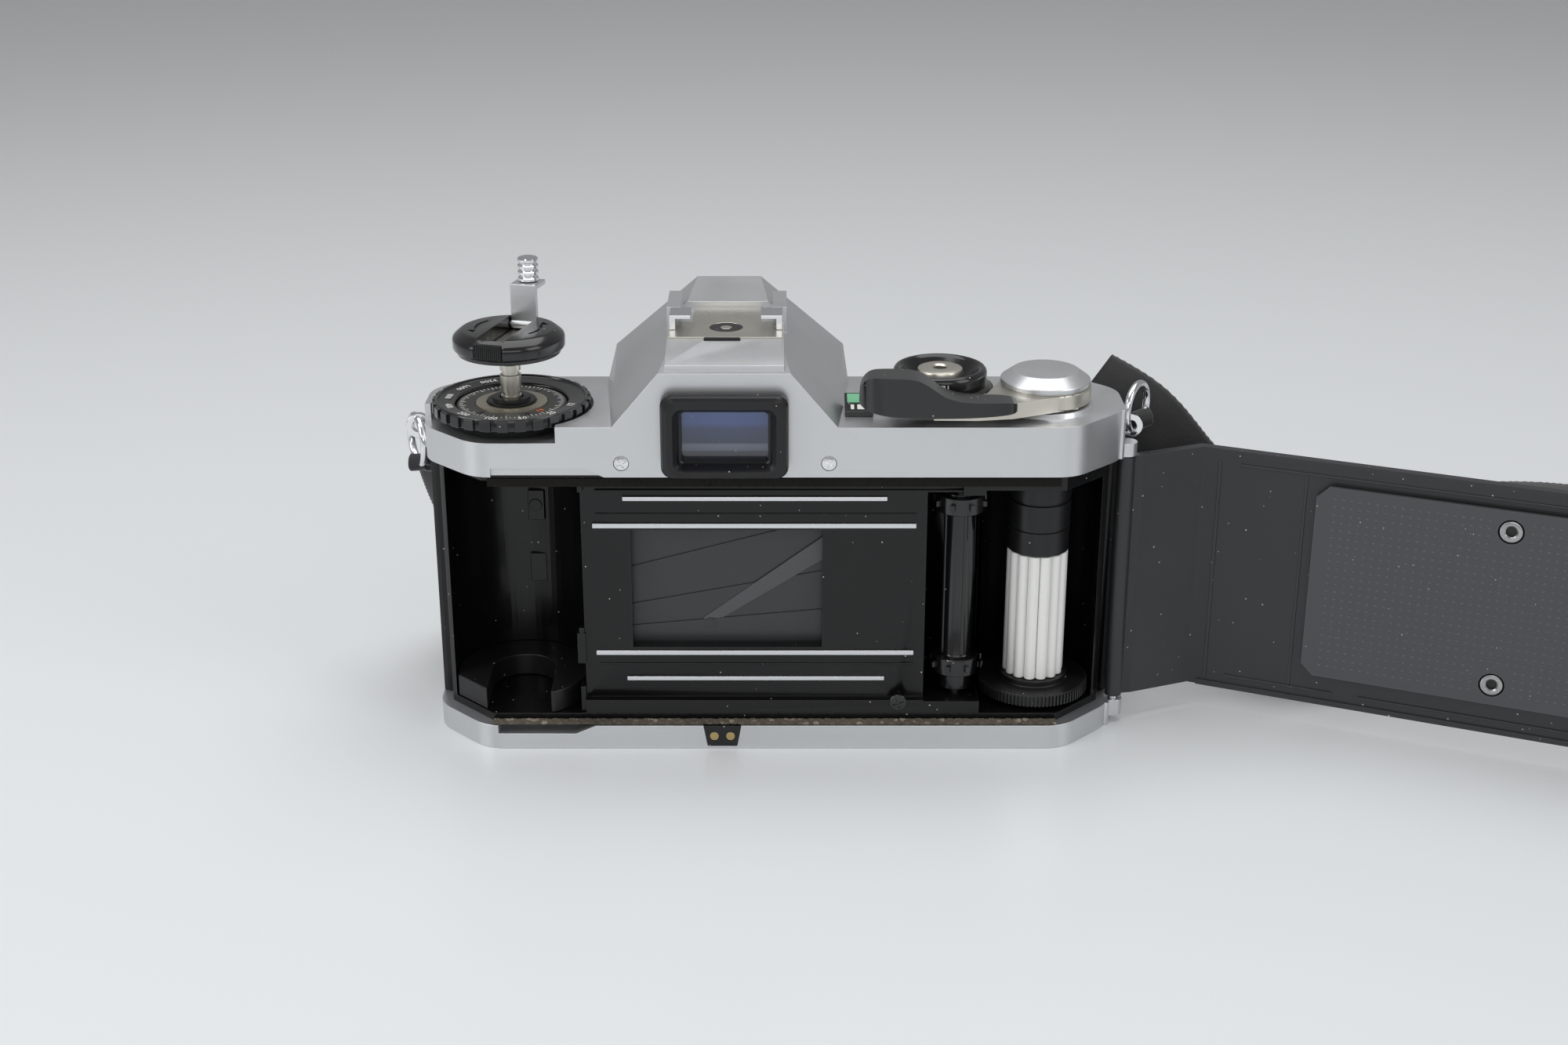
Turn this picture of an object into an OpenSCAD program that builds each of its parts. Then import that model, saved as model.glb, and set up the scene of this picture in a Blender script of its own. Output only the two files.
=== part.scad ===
// Compact 35 mm reflex camera with its back open, its rewind knob lifted and a webbing strap.
// Millimetres. X to the right seen from behind, Y towards the subject, Z up.
// The origin is the mouth of the tripod socket, straight under the lens axis.

/* [Body] */
// Lens axis to the left end, seen from behind
body_left = 56.6; // [50:0.1:70]
// Lens axis to the right end
body_right = 74.5; // [64:0.1:90]
// Lens axis to the rear face of the top cover
body_rear = 16.5; // [15:0.1:20]
// Tripod socket to the front face of the body
body_front = 14.5; // [13:0.1:20]
// Slanted rear corners, along each side
rear_corner = 10.4; // [6:0.1:12]
// Slanted front corners, along each side
front_corner = 8; // [4:0.1:12]
// Height of the base plate
base_h = 4.84; // [4:0.02:7]
// Height of the underside of the top cover
seam_z = 55.5; // [50:0.1:70]
// Top cover, from its underside to its shoulder
cover_h = 9.65; // [8:0.05:14]
// Wall of the top cover
cover_wall = 1.3; // [0.8:0.1:2]
// The casting stands this far inside the cover's outline
casting_inset = 1.0; // [0.6:0.1:2]

/* [Film path] */
// Film gate width
gate_w = 36; // [30:0.5:40]
// Film gate height
gate_h = 24; // [20:0.5:28]
// Height of the film's middle above the middle of the casting
film_up = 1.3; // [-2:0.1:3]
// Film channel face, behind the lens axis
channel_y = 12.2; // [11:0.1:13]
// How far the rails stand out of the channel
rail_h = 0.55; // [0.3:0.05:0.8]
// Half the distance between the inner rails
rail_in = 13; // [12.2:0.1:14]
// Half the distance between the outer rails
rail_out = 18.4; // [17:0.1:19.5]
// Cassette chamber radius
cassette_r = 13; // [12.6:0.1:13.4]
// Cassette and rewind axis, left of the lens axis
rewind_x = 40.2; // [38:0.1:44]
// Cassette and rewind axis, behind the socket
rewind_y = 2.8; // [2:0.1:4]
// Take-up spool and lever axis, right of the lens axis
spool_x = 59.5; // [58:0.1:64]
// Take-up spool and lever axis, behind the socket
spool_y = 3.0; // [2:0.1:4]
// Spool flange radius
spool_flange_r = 10.7; // [9.5:0.1:11]
// Spool body radius
spool_r = 5.95; // [5:0.05:7]
// Sprocket axis, right of the lens axis
sprocket_x = 44; // [42:0.1:46]
// Sprocket axis, behind the socket
sprocket_y = 8.0; // [7.5:0.1:8.5]
// Sprocket wheel radius
sprocket_r = 4.6; // [4:0.1:5]
// Height of a sprocket tooth
tooth_h = 0.7; // [0.4:0.05:1]
// Radius of the fixed spindles of spool and sprocket
spindle_r = 1.4; // [1:0.1:2]

/* [Back door] */
// Swing of the back from closed to where it stands
door_open = 157.1; // [0:0.1:160]
// Hinge pin, right of the body's end
hinge_out = 1.0; // [0.8:0.1:2]
// Hinge pin, behind the socket
hinge_y = 3.6; // [2:0.1:5]
// Hinge pin radius
hinge_r = 0.9; // [0.7:0.05:1.2]
// Thickness of the door shell
door_t = 1.7; // [1.2:0.1:2.5]
// Thickness of the covering outside the door
skin_t = 0.5; // [0.3:0.1:1]
// Gap between the door and the body around it
door_gap = 0.5; // [0.3:0.1:1]
// Pressure plate width
plate_w = 70.5; // [60:0.5:74]
// Pressure plate height
plate_h = 38.8; // [36:0.1:41]
// Pressure plate thickness
plate_t = 0.8; // [0.5:0.1:1.2]
// Middle of the pressure plate, right of the lens axis
plate_x = 5.95; // [2:0.05:8]
// Rivet radius
rivet_r = 2.15; // [1.5:0.05:3]

/* [Top controls] */
// Film speed ring radius
speed_r = 14.75; // [13:0.05:16]
// Depth of the step that the film speed ring lies in
speed_step = 2.75; // [1.5:0.05:4]
// Inner disc radius
disc_r = 10.4; // [9:0.1:11]
// Rewind knob radius
knob_r = 10.4; // [9:0.1:12]
// Rewind knob thickness
knob_h = 4.7; // [3.5:0.1:6]
// Rewind shaft radius
shaft_r = 1.95; // [1.5:0.05:2.5]
// How far the rewind knob is lifted
knob_lift = 8.4; // [5:0.1:9]
// Width of the crank and of its channel less the gap
crank_w = 5.2; // [4:0.1:6]
// Height of the upright crank arm above its pivot
crank_h = 7.8; // [6:0.1:12]
// Finger knob radius
finger_r = 1.95; // [1.5:0.05:2.5]
// Crank channel, turned from straight ahead
crank_turn = 16; // [0:1:30]
// Mode dial axis, right of the lens axis
mode_x = 40; // [38:0.1:42]
// Mode dial axis, behind the socket
mode_y = 0.5; // [0:0.1:2]
// Mode dial knurled radius
mode_r = 10; // [8:0.1:10.5]
// Mode dial height
mode_h = 5.6; // [4:0.1:7]
// Shutter button radius
button_r = 4.3; // [3:0.1:5]
// Cable release hole radius
release_r = 1.3; // [1:0.05:1.6]
// Advance lever hub radius
lever_r = 8.6; // [7:0.1:9]
// Thickness of the lever arm
lever_t = 2.95; // [2:0.05:4]

/* [Viewfinder and shoe] */
// Height of the prism hump above the shoulder
hump_h = 17.05; // [12:0.05:22]
// Front face of the hump, ahead of the socket
hump_front = 26; // [22:0.5:28]
// Inside width between the walls of the shoe
shoe_w = 18.7; // [18.6:0.05:19]
// Opening between the lips of the shoe
shoe_mouth = 13; // [12:0.1:14]
// Height of the slot under the lips
shoe_slot = 2.05; // [2:0.05:2.3]
// Height of the shoe floor above the shoulder
shoe_up = 13.85; // [12:0.05:16]
// Width of the eyepiece frame
eye_w = 23.2; // [20:0.1:26]
// Height of the eyepiece frame
eye_h = 15.85; // [12:0.05:18]
// How far the eyepiece stands out behind
eye_out = 3.5; // [2:0.1:6]

/* [Lens mount and mirror] */
// Throat radius of the lens mount
throat_r = 24; // [22:0.5:24]
// Outer radius of the lens mount
mount_r = 28.2; // [26.5:0.1:28.6]
// Flange distance to the film
flange_y = 45.46; // [40:0.01:48]
// Mount ring thickness
mount_t = 3.5; // [2.5:0.1:4]
// Reflex mirror length
mirror_l = 30; // [26:0.5:30]
// Reflex mirror width
mirror_w = 34; // [30:0.5:35]

/* [Strap and sockets] */
// Strap width
strap_w = 20; // [15:0.5:25]
// Strap thickness
strap_t = 1.6; // [1:0.1:2.5]
// Wire radius of the strap rings
ring_wire = 0.75; // [0.5:0.05:1]
// Radius of the strap rings
ring_r = 4.6; // [4:0.1:6]
// Tripod thread, minor radius
tripod_r = 2.6; // [2.5:0.05:2.7]
// Tripod thread depth
tripod_depth = 7; // [5:0.5:8]
// Battery radius
battery_r = 5.8; // [5:0.1:6.5]
// Battery position, left of the socket
battery_x = 22; // [18:0.5:25]

/* [Hidden] */
$fn = 48;
run_gap = 0.05;    // radial gap of a turning fit
side_gap = 0.3;    // gap between moving parts that don't touch
seat_gap = 0.05;   // gap round a part that is seated in another
deck_z = seam_z + cover_h;
film_z = (base_h + seam_z) / 2 + film_up;
ledge_z = deck_z - speed_step;
film_y = -(channel_y + rail_h);
flange = film_y + flange_y;
hinge_x = body_right + hinge_out;
door_z0 = base_h + door_gap + 0.26;
door_z1 = seam_z - side_gap;
chamber_z0 = base_h + 1.5;
chamber_z1 = seam_z - 1.5;
spool_top = seam_z - 3.5;
case_rear = body_rear - door_t - side_gap - door_gap;
spool_hole_r = spool_flange_r + 0.6;
sprocket_hole_r = sprocket_r + tooth_h + 1.2;
button_z = deck_z + mode_h + 1.15;
knob_z = deck_z + knob_lift + 1.85;
pivot_z = knob_z + knob_h - 1.7;
shoe_z = deck_z + shoe_up;
cav_top = deck_z - cover_wall;
lever_z = deck_z + 1.25;
plate_rear = -film_y + side_gap + plate_t;
door_in = body_rear - 0.3 - door_t;
crank_dir = [sin(crank_turn), cos(crank_turn)];
crank_out = knob_r - 2.4;

// Body outline seen from above, moved in by i.
function plan(i) = let(c = rear_corner - 0.586 * i, f = front_corner - 0.586 * i,
  l = -body_left + i, r = body_right - i, b = -body_rear + i, a = body_front - i)
  [[l + c, b], [r - c, b], [r, b + c], [r, a - f], [r - f, a], [l + f, a], [l, a - f], [l, b + c]];

module at_rewind() translate([-rewind_x, -rewind_y, 0]) children();
module at_spool() translate([spool_x, -spool_y, 0]) children();
module at_sprocket() translate([sprocket_x, -sprocket_y, 0]) children();
module at_mode() translate([mode_x, -mode_y, 0]) children();
module at_lens() translate([0, 0, film_z]) rotate([-90, 0, 0]) children();
module tube(r, z0, z1) translate([0, 0, z0]) cylinder(r = r, h = z1 - z0);
module box(x0, x1, y0, y1, z0, z1) translate([x0, y0, z0]) cube([x1 - x0, y1 - y0, z1 - z0]);
module slab(i, z0, z1) translate([0, 0, z0]) linear_extrude(z1 - z0) polygon(plan(i));

// ---- body and film path ----
module body_casting() color("#1b1b1d") difference() {
  union() {
    slab(body_rear - case_rear, base_h, seam_z);
    intersection() {
      slab(casting_inset, base_h, seam_z);
      box(-body_left, body_right - 1, -hinge_y + 2.6, body_front, base_h, seam_z);
    }
  }
  at_rewind() tube(cassette_r, chamber_z0, chamber_z1);
  box(-rewind_x - cassette_r, -rewind_x + cassette_r, -body_rear, -rewind_y, chamber_z0, chamber_z1);
  at_rewind() tube(shaft_r + 1.45, chamber_z1 - 1, seam_z + 1);
  at_spool() tube(spool_hole_r, chamber_z0, spool_top);
  box(spool_x - spool_hole_r, spool_x + spool_hole_r, -body_rear, -spool_y, chamber_z0, spool_top);
  at_sprocket() tube(sprocket_hole_r, base_h + 4, spool_top - 1);
  box(sprocket_x - sprocket_hole_r, spool_x, -body_rear, -sprocket_y, base_h + 4, spool_top - 1);
  at_spool() tube(spindle_r + seat_gap, base_h - 1, seam_z + 1);
  at_sprocket() tube(spindle_r + seat_gap, base_h - 1, seam_z - 1);
  box(-rewind_x, sprocket_x, -body_rear, -channel_y, film_z - rail_out - 4, film_z + rail_out + 3);
  box(-gate_w / 2, gate_w / 2, -body_rear, 0, film_z - gate_h / 2, film_z + gate_h / 2);
  box(-21.5, 21.5, -9.6, -6.9, film_z - 17, film_z + 17);
  box(-20, 20, -7, body_front, film_z - 19, seam_z + 1);
  tube(5.5 + seat_gap, base_h - 1, 10.1);
  translate([-battery_x, 2, 0]) tube(battery_r + 0.4, base_h - 1, 11.4);
  translate([sprocket_x, 4, 0]) tube(3.4, base_h - 1, 8);
  translate([mode_x + 5, body_front, film_z + 2]) rotate([90, 0, 0]) tube(1.5 + run_gap, -1, 5.5);
  translate([-37, body_front, film_z - 8]) rotate([90, 0, 0]) tube(3.3, -1, 3.6);
  translate([32.65, -body_rear, 8.6]) rotate([-90, 0, 0]) tube(1.0 + seat_gap, 0, 6.4);
}

module cassette_cradle() color("#161617") difference() {
  intersection() {
    at_rewind() tube(cassette_r - seat_gap, chamber_z0, chamber_z0 + 4.5);
    slab(body_rear - case_rear + 0.2, 0, 20);
  }
  at_rewind() tube(6.2, 0, 40);
  at_rewind() box(-6.2, 6.2, -20, 0, 0, 40);
}

module film_rails() color("#c9cbcd") for (s = [-1, 1]) {
  box(-25.05, 35.5, film_y, -channel_y, film_z + s * rail_in - 0.5, film_z + s * rail_in + 0.5);
  box(-19.3, 30, film_y, -channel_y, film_z + s * rail_out - 0.45, film_z + s * rail_out + 0.45);
}

module shutter_plate() color("#232426") difference() {
  box(-21.4, 21.4, -8.3, -7.05, film_z - 16.9, film_z + 16.9);
  box(-gate_w / 2 - 0.2, gate_w / 2 + 0.2, -9, -6, film_z - gate_h / 2 - 0.2, film_z + gate_h / 2 + 0.2);
}

module shutter_blades() color("#3a3c3e") for (k = [0:3])
  box(-19.6, 19.6, -8.5 - k * 0.24, -8.35 - k * 0.24,
    film_z - 13.4 + k * 6.5, film_z - 13.4 + k * 6.5 + 7.4);

module take_up_spool() color("#1a1a1b") at_spool() difference() {
  tube(spool_r + 0.05, film_z + 5, spool_top - 0.6);
  tube(spindle_r + run_gap, 0, 80);
}

module spool_needles() color("#f2f2ee") at_spool() translate([0, 0, chamber_z0 + 4.4])
  linear_extrude(film_z + 5 - chamber_z0 - 4.4) difference() {
    union() {
      circle(r = spool_r - 0.7);
      for (k = [0:13]) rotate(k * 360 / 14) translate([spool_r - 1.15, 0]) circle(r = 1.15);
    }
    circle(r = spindle_r + run_gap);
  }

module spool_flange() color("#161617") at_spool() difference() {
  union() {
    tube(spool_flange_r, chamber_z0 + 0.9, chamber_z0 + 3.4);
    tube(spool_r + 0.6, chamber_z0 + 3.4, chamber_z0 + 4.4);
  }
  tube(spindle_r + run_gap, 0, 80);
}

module sprocket() color("#1d1d1f") at_sprocket() difference() {
  union() {
    tube(3.2, base_h + 5, spool_top - 2);
    for (s = [-1, 1]) translate([0, 0, film_z + s * 16.5]) {
      tube(sprocket_r, -1.7, 1.7);
      for (k = [0:7]) rotate(k * 45 + 22.5)
        box(0, sprocket_r + tooth_h, -0.55, 0.55, -0.6, 0.6);
    }
  }
  tube(spindle_r - 0.3 + run_gap, 0, 80);
}

module film_spindles() color("#9a9b9d") {
  at_spool() tube(spindle_r, base_h + 0.2, seam_z - 0.2);
  at_sprocket() tube(spindle_r - 0.3, base_h + 0.2, seam_z - 1.2);
}

module light_seals() color("#5a4632") {
  box(-body_left + rear_corner + 1, body_right - rear_corner - 1, -body_rear + 0.5, -case_rear,
    base_h, base_h + 0.5);
  box(-body_left + rear_corner + 2, body_right - rear_corner - 2, -case_rear - 0.35, -case_rear,
    seam_z - 2.4, seam_z - 1);
}

// ---- base ----
module base_plate() color("#c4c6c8") difference() {
  union() {
    slab(0, 0, base_h);
    hinge_lug(1.5, base_h);
  }
  translate([0, -body_rear - 1, 0]) rotate([-90, 0, 0]) linear_extrude(6)
    polygon([[-44, -base_h - 1], [-44, 1.67 - base_h], [-29.1, 1.67 - base_h], [-25.3, -base_h], [-25.3, -base_h - 1]]);
  tube(5.5 + seat_gap, -1, 10);
  translate([-battery_x, 2, 0]) {
    tube(8.1, -1, 2.05);
    tube(battery_r + 0.4, 1, 10);
  }
  translate([sprocket_x, 4, 0]) tube(2.7, -1, 10);
  at_spool() tube(spindle_r + seat_gap, 2, 10);
  at_sprocket() tube(spindle_r + seat_gap, 2, 10);
  translate([hinge_x, -hinge_y, 0]) tube(hinge_r + seat_gap, 2.4, 10);
  contact_notch(seat_gap);
  translate([0, body_front - casting_inset, film_z]) rotate([-90, 0, 0]) tube(mount_r + seat_gap, 0, 10);
}

module hinge_lug(z0, z1) difference() {
  translate([0, 0, z0]) linear_extrude(z1 - z0) union() {
    translate([hinge_x, -hinge_y]) circle(r = hinge_r + 0.9);
    polygon([[body_right - 2, -hinge_y - 1.8], [hinge_x, -hinge_y - 1.8],
      [hinge_x, -hinge_y + 1.8], [body_right - 2, -hinge_y + 1.8]]);
  }
}

module contact_notch(g) translate([0, -body_rear + 2 + g, 0]) rotate([90, 0, 0]) linear_extrude(2.2 + g)
    polygon([[-3.8 - g, 0.6 - g], [1.7 + g, 0.6 - g], [2.5 + g, base_h + g], [-4.6 - g, base_h + g]]);

module contact_plate() color("#151515") difference() {
  intersection() {
    contact_notch(0);
    box(-10, 10, -body_rear - 0.03, 0, 0, base_h - 0.02);
  }
  for (x = [-2.6, 0.5]) translate([x, 0, 2.6]) rotate([90, 0, 0]) tube(0.9 + seat_gap, 0, 40);
}

module winder_contacts() color("#c9a24a") for (x = [-2.6, 0.5])
  translate([x, -body_rear, 2.6]) rotate([-90, 0, 0]) tube(0.9, 0, 1.8);

module tripod_bush() color("#b4b6b8") difference() {
  tube(5.5, 0, 10);
  tube(tripod_r, -1, tripod_depth);
}

module battery_cover() color("#b9bbbd") translate([-battery_x, 2, 0]) difference() {
  tube(8, 0.1, 2.0);
  box(-6, 6, -0.8, 0.8, -1, 1.1);
}

module battery() color("#d0d2d4") translate([-battery_x, 2, 0]) {
  tube(battery_r, 2.1, 6.4);
  tube(battery_r, 6.5, 10.8);
}

module rewind_release() color("#2b2b2d") translate([sprocket_x, 4, 0]) difference() {
  union() {
    tube(2.4, 0.5, 6);
    tube(3.1, base_h + 0.1, base_h + 0.9);
  }
  tube(1.4, 0, 0.8);
}

// ---- covering, front and lens mount ----
module skin_half(side) intersection() {
  translate([0, 0, base_h + 0.1]) linear_extrude(seam_z - base_h - 0.2) difference() {
    polygon(plan(0.1));
    polygon(plan(casting_inset));
  }
  if (side < 0) box(-body_left - 1, -34.3, -hinge_y + 3, body_front + 1, 0, seam_z);
  else box(34.3, body_right + 1, -hinge_y + 3, body_front + 1, 0, seam_z);
}

module leather_left() color("#1c1c1c") difference() {
  skin_half(-1);
  translate([-37, body_front + 1, film_z - 8]) rotate([90, 0, 0]) tube(3.3, 0, 4);
  translate([-38, body_front + 1, film_z + 10]) rotate([90, 0, 0]) tube(2.65, 0, 4);
}

module leather_right() color("#1c1c1c") difference() {
  skin_half(1);
  translate([mode_x + 5, body_front + 1, film_z + 2]) rotate([90, 0, 0]) tube(1.9, 0, 4);
}

module sync_socket() color("#b89a55") translate([-38, body_front - casting_inset, film_z + 10])
  rotate([-90, 0, 0]) difference() { tube(2.6, 0, 2.2); tube(1.3, 0.6, 3); }

module mount_housing() color("#1f1f21") difference() {
  intersection() {
    union() {
      translate([0, body_front - casting_inset, film_z]) rotate([-90, 0, 0])
        cylinder(r = mount_r, h = flange - mount_t - body_front + casting_inset);
      translate([0, 0, base_h + 1.4]) linear_extrude(seam_z - base_h - 1.8)
        polygon([[-34, body_front - casting_inset], [-25.5, flange - mount_t - 3],
          [25.5, flange - mount_t - 3], [34, body_front - casting_inset]]);
    }
    box(-40, 40, 0, 60, 0, deck_z - 5.3);
  }
  box(-40, 40, 0, body_front + seat_gap, seam_z - seat_gap, 80);
  at_lens() tube(throat_r + 0.7, 0, 60);
  box(-40, 40, 0, body_front - casting_inset, 0, 80);
  at_mirror_box_front();
}

module at_mirror_box_front() box(-19, 19, 10, body_front + 1, film_z - 18, film_z + 19);

module lens_mount() color("#c6c8ca") difference() {
  at_lens() difference() {
    tube(mount_r, flange - mount_t, flange);
    tube(throat_r, 0, 60);
    for (a = [40, 160, 280]) rotate(a) box(0, throat_r + 1.2, -5, 5, flange - 2.2, flange + 1);
    for (a = [15, 105, 195, 285, 335]) rotate(a) translate([26.4, 0, 0]) tube(0.9, flange - 0.8, flange + 1);
  }
}

module mirror_box() color("#141414") difference() {
  box(-19.9, 19.9, -6.95, body_front - casting_inset, film_z - 18.9, film_z + 19.4);
  box(-18.9, 18.9, -10, 40, film_z - 17.9, film_z + 19.5);
}

module reflex_mirror() color("#aeb9c4") translate([0, -3.6, film_z + 15.2]) rotate([-45, 0, 0]) {
  box(-mirror_w / 2, mirror_w / 2, 0, mirror_l, -1.1, 0);
  rotate([0, 90, 0]) tube(0.9, -mirror_w / 2, mirror_w / 2);
}

module focusing_screen() color("#dfe6ea")
  box(-17.5, 17.5, -6.4, 12.8, film_z + 19.45, film_z + 20.7);

module pentaprism() color("#b7c8d2") hull() {
  box(-13, 13, -10, body_front - cover_wall - 0.4, seam_z + 1.2, seam_z + 2);
  box(-14, 14, -6, body_front - cover_wall - 0.4, seam_z + 6, seam_z + 7);
  box(-3, 3, 0, 10, deck_z + 7, deck_z + 7.5);
}

module self_timer_lever() color("#2c2c2e") translate([mode_x + 5, body_front, film_z + 2])
  rotate([-90, 0, 0]) union() {
    tube(1.5, -5, 1);
    tube(4.2, 0.3, 3.2);
    box(-2.2, 2.2, 0, 15, 0.9, 2.9);
  }

module lens_release() color("#8f9193") translate([-37, body_front, film_z - 8])
  rotate([-90, 0, 0]) tube(3.0, -1.9, 3.8);

// ---- top cover ----
module hump(i) hull() {
  box(-20.6 + i, 20.6 - i, -body_rear + i, -body_rear + i + 0.1, deck_z - 9, deck_z);
  box(-12 + i * 0.7, 12 - i * 0.7, -body_rear + i, -body_rear + i + 0.1, deck_z, deck_z + 10.2 - i * 1.3);
  box(-22.5 + i, 22.5 - i, hump_front - i - 0.1, hump_front - i, deck_z - 5, deck_z + 3.2);
  box(-6.2 + i * 0.4, 6.2 - i * 0.4, hump_front - i - 0.1, hump_front - i, deck_z, deck_z + hump_h - i * 1.2);
  box(-23.2 + i, 23.2 - i, 10, 10.1, deck_z - 5, deck_z);
}

module cover_body() union() {
  slab(0, seam_z, deck_z);
  hinge_lug(seam_z, seam_z + 2.6);
  at_spool() translate([0, 0, deck_z]) cylinder(r1 = lever_r + 0.7, r2 = lever_r + 0.3, h = 0.95);
  intersection() {
    hump(0);
    box(-30, 30, -30, 40, deck_z - 5, 200);
  }
  translate([-10.8, 0, 0]) rotate([90, 0, 90]) linear_extrude(21.6)
    polygon([[-15.4, deck_z + 5], [-15.4, deck_z + 11.4], [-6.6, shoe_z], [15.8, shoe_z], [15.8, deck_z + 5]]);
  for (s = [-1, 1]) translate([s * (shoe_w / 2 + 0.6), 9.9, shoe_z - 4])
    box(-1.3, 1.3, -5.9, 5.9, 0, 7);
}

module top_cover() color("#cfd1d3") difference() {
  cover_body();
  // hollow
  difference() {
    translate([0, 0, seam_z - 1]) linear_extrude(cav_top - seam_z + 1) polygon(plan(cover_wall));
    box(-body_left, -22.5, -body_rear, body_front, ledge_z - cover_wall - side_gap, deck_z);
  }
  intersection() {
    hump(cover_wall + 0.4);
    box(-30, 30, -30, 40, seam_z + 3, shoe_z - 2);
  }
  // step under the film speed ring
  at_rewind() tube(speed_r + 0.5, ledge_z - side_gap, deck_z + 9);
  box(-body_left - 1, -30.9, -body_rear - 1, -rewind_y, ledge_z - side_gap, deck_z + 9);
  at_rewind() tube(shaft_r + 1.45, seam_z, deck_z);
  // raised lower edge over the cassette side
  translate([0, -body_rear - 1, 0]) rotate([-90, 0, 0]) linear_extrude(2.2)
    polygon([[-43, -seam_z + 1], [-43, -seam_z - 1.7], [-25.8, -seam_z - 1.7], [-22.2, -seam_z], [-22.2, -seam_z + 1]]);
  // eyepiece seat
  box(-10 - seat_gap, 10 + seat_gap, -body_rear - 1, -body_rear + 4, seam_z + 1.6, deck_z + 4.8);
  // shoe channel
  box(-11.2, 11.2, -6.6, 4, shoe_z, shoe_z + 9);
  box(-shoe_w / 2, shoe_w / 2, 3.9, 14.2, shoe_z, shoe_z + 0.3 + shoe_slot);
  box(-shoe_mouth / 2, shoe_mouth / 2, 3.9, 14.2, shoe_z, shoe_z + 9);
  box(-3.95, 2.75, -7.25, -6.5, shoe_z - 1.15, shoe_z + 1);
  // dials, button and screws
  at_mode() tube(3.0, seam_z, deck_z + 1);
  at_spool() tube(3.2 + run_gap, seam_z, deck_z + 2);
  translate([hinge_x, -hinge_y, 0]) tube(hinge_r + seat_gap, seam_z - 1, seam_z + 2);
  for (s = [-1, 1]) translate([s * 19, -body_rear - 1, seam_z + 2.7]) rotate([-90, 0, 0]) {
    tube(1.45, 0, 1.4);
    tube(0.8 + seat_gap, 0, 5);
  }
}

module cross_screw(head, shank, length) difference() {
  union() { tube(head, 0, 0.45); tube(shank, 0, length); }
  box(-head * 0.7, head * 0.7, -0.2, 0.2, -1, 0.3);
  box(-0.2, 0.2, -head * 0.7, head * 0.7, -1, 0.3);
}

module cover_screws() color("#b8babc") {
  for (s = [-1, 1]) translate([s * 19, -body_rear - 0.1, seam_z + 2.7]) rotate([-90, 0, 0])
    cross_screw(1.4, 0.8, 2.6);
  translate([32.65, -case_rear - 0.46, 8.6]) rotate([-90, 0, 0]) cross_screw(1.7, 1.0, 4);
}

module index_block() color("#202022") translate([22, 0, 0]) rotate([90, 0, 90]) linear_extrude(5.2)
  polygon([[-10.3, deck_z], [-10.3, deck_z + 1], [-3.5, deck_z + 2.5], [-3.5, deck_z]]);

module eyepiece_frame() color("#171718") difference() {
  union() {
    box(-eye_w / 2, eye_w / 2, -body_rear - eye_out, -body_rear, seam_z + 0.7, seam_z + 0.7 + eye_h);
    box(-10, 10, -body_rear, -13, seam_z + 1.7, deck_z + 4.7);
  }
  box(-7.9, 7.9, -30, 0, seam_z + 3.1, seam_z + 12.9);
  box(-8.9, 8.9, -15.6, -10, seam_z + 2.5, seam_z + 13.5);
}

module eyepiece_glass() color("#5b6f96")
  box(-8.85, 8.85, -15.55, -14.6, seam_z + 2.55, seam_z + 13.45);

module shoe_plate() color("#d9d6c8") difference() {
  union() {
    box(-10.5, 10.5, -6.5, 3.9, shoe_z, shoe_z + 0.3);
    box(-6.4, 6.4, 3.9, 14.1, shoe_z, shoe_z + 0.3);
  }
  difference() {
    tube(3.1, shoe_z - 1, shoe_z + 1);
    tube(1.1, shoe_z - 1, shoe_z + 1);
  }
}

module shoe_contact() color("#1a1a1a") {
  difference() {
    tube(3.05, shoe_z, shoe_z + 0.25);
    tube(1.15, shoe_z - 1, shoe_z + 1);
  }
  box(-3.9, 2.7, -7.2, -6.55, shoe_z - 1.1, shoe_z + 0.3);
}

module shoe_rails() color("#d5d7d9") for (s = [-1, 1]) mirror([s < 0 ? 1 : 0, 0, 0])
  translate([0, 3.85, 0]) rotate([90, 0, 0]) linear_extrude(5.85)
    polygon([[shoe_w / 2, shoe_z + 0.31], [shoe_w / 2 + 1.15, shoe_z + 0.31],
      [shoe_w / 2 + 1.15, shoe_z + 1 + shoe_slot], [shoe_mouth / 2, shoe_z + 1 + shoe_slot],
      [shoe_mouth / 2, shoe_z + 0.3 + shoe_slot], [shoe_w / 2, shoe_z + 0.3 + shoe_slot]]);

module circuit_board() color("#3c5a34") box(17, 33, -12, 12, seam_z + 1, seam_z + 2);

// ---- rewind side ----
module film_dial() color("#1b1b1d") at_rewind() difference() {
  union() {
    translate([0, 0, ledge_z + 0.05]) cylinder(r1 = 12.4, r2 = speed_r - 0.5, h = speed_step - 0.7);
    translate([0, 0, deck_z - 0.7]) linear_extrude(2.3) difference() {
      circle(r = speed_r);
      for (k = [0:27]) rotate(k * 360 / 28) translate([speed_r + 0.25, 0]) square([1, 1.3], center = true);
    }
  }
  translate([0, 0, deck_z + 1]) cylinder(r1 = disc_r, r2 = speed_r - 0.8, h = 1);
  tube(disc_r + 0.1, ledge_z - 1, deck_z + 4);
}

module dial_disc() color("#3b3a38") at_rewind() difference() {
  union() {
    tube(disc_r, ledge_z + 0.05, deck_z + 0.45);
    tube(6.65, deck_z + 0.45, deck_z + 0.7);
  }
  tube(shaft_r + 1.45, 0, 100);
  for (a = [60, 120, 240, 300]) rotate(a) box(7.2, 9.2, -0.6, 0.6, deck_z, deck_z + 2);
}

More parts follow.
